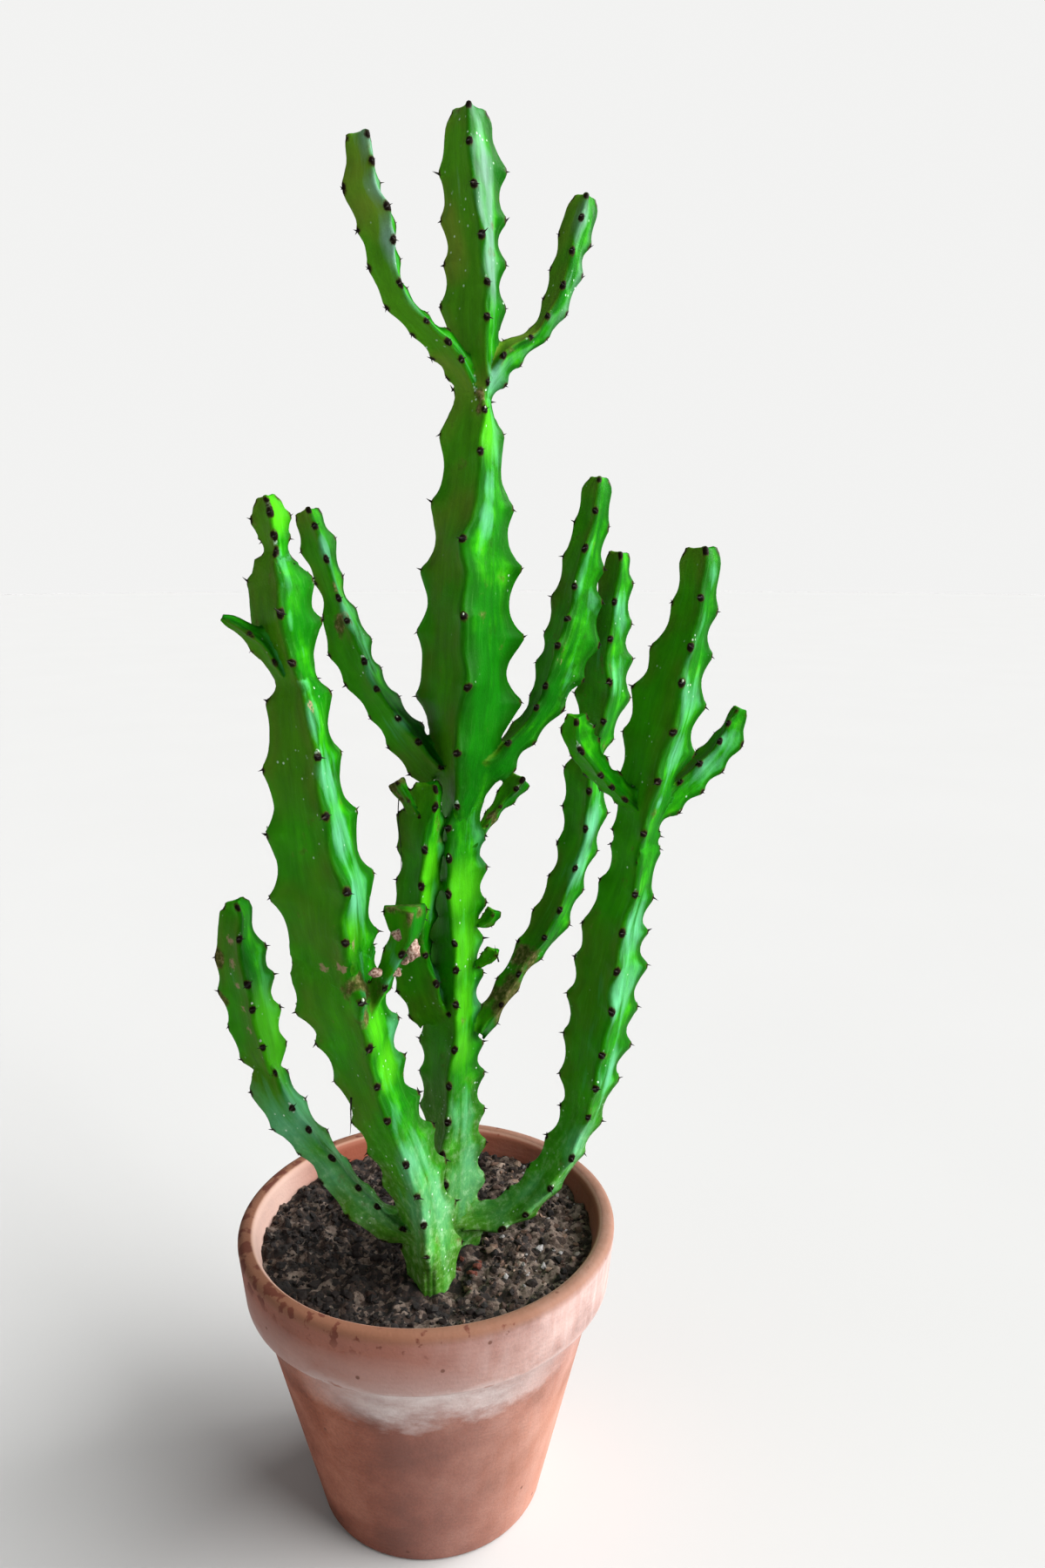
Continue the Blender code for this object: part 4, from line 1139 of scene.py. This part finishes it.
def compost():
    """Peat and loam, crumbled and watered: dark brown and matt, with paler dry crumbs."""
    material, add, set_surface = new_material("crumbled_potting_soil")
    place = add("TexCoord", out="Object")
    # Crumbs of 3 mm, clods of 11 mm and dust of 1 mm, paler on the right as painted light
    crumbs = add("TexVoronoi", {"Vector": place, "Scale": 310})
    clods = add("TexNoise", {"Vector": place, "Scale": 90, "Detail": 3})
    dust = add("TexNoise", {"Vector": place, "Scale": 900, "Detail": 3, "Roughness": 0.7})
    tone = add("SeparateColor", {"Color": crumbs.node.outputs["Color"]}, out="Red")
    tone = add("Math", {0: tone, 1: clods}, operation="MULTIPLY")
    tone = add("Math", {0: dust, 1: 0.6, 2: tone}, operation="MULTIPLY_ADD")
    across = add("SeparateXYZ", {"Vector": place}, out="X")
    painted_light_rightward = add("MapRange", {"Value": across, 1: 0.01, 2: 0.06, 4: 0.2})
    tone = add("Math", {0: tone, 1: painted_light_rightward}, operation="ADD")
    colour = add("ValToRGB", {"Fac": tone}, stops=(
        (0.30, "080504"), (0.48, "1a110c"), (0.66, "382920"), (0.86, "6c5d53")))
    # Pale grit 2.3 mm across, gathered in patches
    grit = add("TexVoronoi", {"Vector": place, "Scale": 430}, out="Color")
    grit = add("SeparateColor", {"Color": grit}, out="Green")
    grit = add("Math", {0: clods, 1: 1.5, 2: grit}, operation="MULTIPLY_ADD")
    grit = add("Math", {0: grit, 1: 0.5}, operation="MULTIPLY")
    grit = add("ValToRGB", {"Fac": grit}, stops=((0.78, 0.0), (0.86, 0.55)))
    colour = add("Mix", {0: grit, 6: colour, 7: "86766a"}, out=2, data_type="RGBA")
    relief = add("Math", {0: dust, 1: crumbs}, operation="SUBTRACT")
    bump = add("Bump", {"Height": relief, "Strength": 0.7, "Distance": 1.0 * MM})
    set_surface({"Base Color": colour, "Normal": bump, "Roughness": 0.95})
    return material


def loose_crumb():
    """Loose bits on the soil, each of one tone: black peat, brown loam, tan grit, grey pumice, red bark."""
    material, add, set_surface = new_material("mixed_soil_crumbs")
    tone = add("Attribute", out="Fac", attribute_name="tone")
    colour = add("ValToRGB", {"Fac": tone}, stops=(
        (0.0, "0d0806"), (0.40, "22150f"), (0.62, "463126"), (0.80, "755b4b"), (0.90, "97806f"),
        (0.96, "9a9897"), (0.97, "5c2a1c"), (1.0, "5c2a1c")))
    # Dust under 1 mm across
    dust = add("TexNoise", {"Vector": add("TexCoord", out="Object"), "Scale": 1200, "Detail": 3})
    shade = add("ValToRGB", {"Fac": dust}, stops=((0.3, 0.6), (0.7, 1.15)))
    colour = add("Mix", {0: 1.0, 6: colour, 7: shade}, out=2, data_type="RGBA", blend_type="MULTIPLY")
    bump = add("Bump", {"Height": dust, "Strength": 0.6, "Distance": 0.4 * MM})
    set_surface({"Base Color": colour, "Normal": bump, "Roughness": 0.92})
    return material


def soil_height(x, y):
    """The height of the soil's crumbly top."""
    spot = Vector((x, y, 0))
    # Swells 17 mm across, clods of 9 mm, crumbs of 3.8 mm and grit of 1.3 mm, with one small hollow
    swell = noise.noise(spot / (17 * MM)) * 1.8 * MM
    bent = spot + noise.noise_vector(spot / (4 * MM)) * 1.2 * MM
    clod = (0.45 - noise.voronoi(bent / (9 * MM))[0][0]) * 5.5 * MM
    crumb = (0.5 - noise.voronoi(bent / (3.8 * MM))[0][0]) * 2.6 * MM
    grit = noise.noise(spot / (1.3 * MM)) * 0.45 * MM
    hollow = max(0.0, 1 - (spot - SOIL_HOLLOW).length / (7 * MM)) ** 0.5 * 5 * MM
    return SOIL_LEVEL + swell + clod + crumb + grit - hollow


def make_soil():
    """Fills the pot with soil and raises its top into crumbs and clods."""
    edge = inner_radius(SOIL_LEVEL) - 0.1 * MM
    top = [(edge * (1 - i / SOIL_RINGS), SOIL_LEVEL) for i in range(SOIL_RINGS + 1)]
    underside = FLOOR_THICKNESS + SOIL_GAP
    bm = turned([(0, underside), (FLOOR_INNER_RADIUS - SOIL_GAP, underside)] + top, SOIL_SIDES)
    for vert in bm.verts:
        if vert.co.z > SOIL_LEVEL - 1 * MM:
            vert.co.z = soil_height(vert.co.x, vert.co.y)
    soil = object_from(bm, "potting_soil", compost())
    dress(soil, "potting_soil", "soil")


def make_crumbs():
    """Scatters loose crumbs on the soil outside the stems' feet, each of one tone."""
    settings = bpy.context.scene.euphorbia_soil
    chance = random.Random("crumbs")
    bm = bmesh.new()
    tone = bm.verts.layers.float.new("tone")
    feet = [shoots[0].path[0] for shoots in (TRUNK_SHOOTS, FRONT_SHOOTS)]
    reach = inner_radius(SOIL_LEVEL) - 2 * MM
    for _ in range(settings.crumbs):
        turn, out = chance.uniform(0, math.tau), reach * math.sqrt(chance.random())
        x, y = out * math.cos(turn), out * math.sin(turn)
        spot = Vector((x, y))
        size = settings.crumb_size * (0.26 + 0.74 * chance.random() ** 3)
        barky = (spot - BARK_PLACE).length < BARK_RADIUS
        if barky:
            size = max(size, BARK_SIZE)
        if any((spot - Vector(foot[:2]) * MM).length < foot[3] * MM * 0.9 for foot in feet):
            continue
        seat = Matrix.Translation((x, y, soil_height(x, y) + size * 0.15))
        seat @= Matrix.Rotation(chance.uniform(0, math.tau), 4, "Z")
        seat @= Matrix.Rotation(chance.uniform(-0.9, 0.9), 4, "X")
        made = add_lump(bm, seat, [size * chance.uniform(*span) for span in CRUMB_SPANS])
        # Darker on the left and paler on the right, as painted shade and painted light, varied at random
        painted_light_rightward = 0.62 + 7.5 * x + 0.9 * noise.noise(Vector((x, y, 3)) / (24 * MM))
        hue = min(0.96, chance.random() ** 1.1 * max(painted_light_rightward, 0.3))
        if barky:
            hue = 1.0 if chance.random() < BARK_SHARE else hue
        roughen(made, chance, size)
        for vert in made:
            vert[tone] = hue
    crumbs = object_from(bm, "loose_crumbs", loose_crumb())
    crumbs.data.shade_flat()
    dress(crumbs, "potting_soil")


# Stage

def white_card():
    """Matt white card under the pot: painted, and faintly uneven."""
    material, add, set_surface = new_material("matt_white_card")
    # Unevenness 0.3 m across
    cloud = add("TexNoise", {"Vector": add("TexCoord", out="Object"), "Scale": 3})
    tint = add("ValToRGB", {"Fac": cloud}, stops=((0.3, "c4c4c3"), (0.7, "c5c5c4")))
    set_surface({"Base Color": tint, "Roughness": 0.9, "Specular IOR Level": 0})
    return material


def make_stage():
    """Lays the floor, brightens the surroundings, hangs three soft lights and sets the camera."""
    settings = bpy.context.scene.euphorbia_stage
    scene = bpy.context.scene
    scene.view_settings.view_transform = "Standard"
    bm = bmesh.new()
    bmesh.ops.create_circle(bm, cap_ends=True, segments=128, radius=FLOOR_RADIUS)
    floor = object_from(bm, "studio_floor", white_card())

    world = bpy.data.worlds.new("pale_studio")
    world.use_nodes = True
    scene.world = world
    sky = world.node_tree
    seen = node(sky, "LightPath", out="Is Camera Ray")
    strength = node(sky, "Mix", {0: seen, 2: settings.fill, 3: settings.backdrop}, data_type="FLOAT")
    feed(sky, sky.nodes["Background"].inputs, {"Color": "fefefd", "Strength": strength})

    for name, power, angle, aim in (("key", settings.key_power, 64, (-0.83, 0.25, -0.50)),
                                    ("rim", settings.rim_power, 34, (-0.80, -0.425, -0.42)),
                                    ("side", settings.side_power, 60, (0.75, 0.43, -0.50))):
        light = bpy.data.lights.new(name, "SUN")
        light.energy = power
        light.angle = math.radians(angle)
        lamp = bpy.data.objects.new(name, light)
        lamp.rotation_euler = Vector(aim).to_track_quat("-Z", "Y").to_euler()
        scene.collection.objects.link(lamp)

    camera = bpy.data.cameras.new("view")
    camera.sensor_fit = "VERTICAL"
    camera.sensor_height = 36
    camera.lens = settings.lens
    camera.clip_start = 0.01
    viewer = bpy.data.objects.new("view", camera)
    viewer.location = CAMERA_PLACE
    viewer.rotation_euler = [math.radians(angle) for angle in CAMERA_TURNS]
    scene.collection.objects.link(viewer)
    scene.camera = viewer


class SCENE_OT_stage(bpy.types.Operator):
    """Lay the pale floor, light it softly and set the camera"""
    bl_idname = "euphorbia.stage"
    bl_label = "Stage"

    def execute(self, context):
        make_stage()
        return {"FINISHED"}


class MESH_OT_pot(bpy.types.Operator):
    """Turn the terracotta pot and drill its drain holes"""
    bl_idname = "euphorbia.pot"
    bl_label = "Terracotta Pot"

    def execute(self, context):
        make_pot()
        return {"FINISHED"}


class MESH_OT_soil(bpy.types.Operator):
    """Fill the pot with crumbly soil and scatter loose crumbs on it"""
    bl_idname = "euphorbia.soil"
    bl_label = "Potting Soil"

    def execute(self, context):
        make_soil()
        make_crumbs()
        return {"FINISHED"}


class MESH_OT_trunk(bpy.types.Operator):
    """Grow the jointed trunk with its arms and spines"""
    bl_idname = "euphorbia.trunk"
    bl_label = "Trunk"

    def execute(self, context):
        plant = grow_plant("trunk_skin", TRUNK_SHOOTS, "trunk")
        make_spines("trunk_spines", TRUNK_SHOOTS, plant)
        return {"FINISHED"}


class MESH_OT_front_stem(bpy.types.Operator):
    """Grow the shorter stem at the front left with its arms and spines"""
    bl_idname = "euphorbia.front_stem"
    bl_label = "Front Stem"

    def execute(self, context):
        plant = grow_plant("front_stem_skin", FRONT_SHOOTS, "front_stem")
        make_spines("front_stem_spines", FRONT_SHOOTS, plant)
        return {"FINISHED"}


class MESH_OT_scars(bpy.types.Operator):
    """Add healed wounds and dry threads to the stems"""
    bl_idname = "euphorbia.scars"
    bl_label = "Scars and Threads"

    def execute(self, context):
        make_scars()
        return {"FINISHED"}


class VIEW3D_PT_euphorbia(bpy.types.Panel):
    """Sizes and colours of the potted euphorbia, with a button for each part of it"""
    bl_label = "Potted Euphorbia"
    bl_idname = "VIEW3D_PT_euphorbia"
    bl_space_type = "VIEW_3D"
    bl_region_type = "UI"
    bl_category = "Euphorbia"

    def draw(self, context):
        for name in SETTINGS:
            settings = getattr(context.scene, name)
            for prop in settings.bl_rna.properties:
                if prop.identifier not in ("rna_type", "name"):
                    self.layout.prop(settings, prop.identifier)
        for operator in OPERATORS:
            self.layout.operator(operator.bl_idname)


OPERATORS = (SCENE_OT_stage, MESH_OT_pot, MESH_OT_soil, MESH_OT_trunk, MESH_OT_front_stem, MESH_OT_scars)
SETTINGS = {
    "euphorbia_stems": StemSettings, "euphorbia_spines": SpineSettings, "euphorbia_pot": PotSettings,
    "euphorbia_soil": SoilSettings, "euphorbia_stage": StageSettings,
}


def register():
    """Registers the settings, the operators and the panel, and seeds the noise that gives vectors."""
    noise.seed_set(NOISE_SEED)
    for cls in (*SETTINGS.values(), *OPERATORS, VIEW3D_PT_euphorbia):
        bpy.utils.register_class(cls)
    for name, cls in SETTINGS.items():
        setattr(bpy.types.Scene, name, PointerProperty(type=cls))


def unregister():
    """Takes away what register added."""
    for name in SETTINGS:
        delattr(bpy.types.Scene, name)
    for cls in reversed((*SETTINGS.values(), *OPERATORS, VIEW3D_PT_euphorbia)):
        bpy.utils.unregister_class(cls)


def main():
    """Builds the stage and every piece in order."""
    register()
    bpy.ops.euphorbia.stage()
    bpy.ops.euphorbia.pot()
    bpy.ops.euphorbia.soil()
    bpy.ops.euphorbia.trunk()
    bpy.ops.euphorbia.front_stem()
    bpy.ops.euphorbia.scars()


if __name__ == "__main__":
    main()
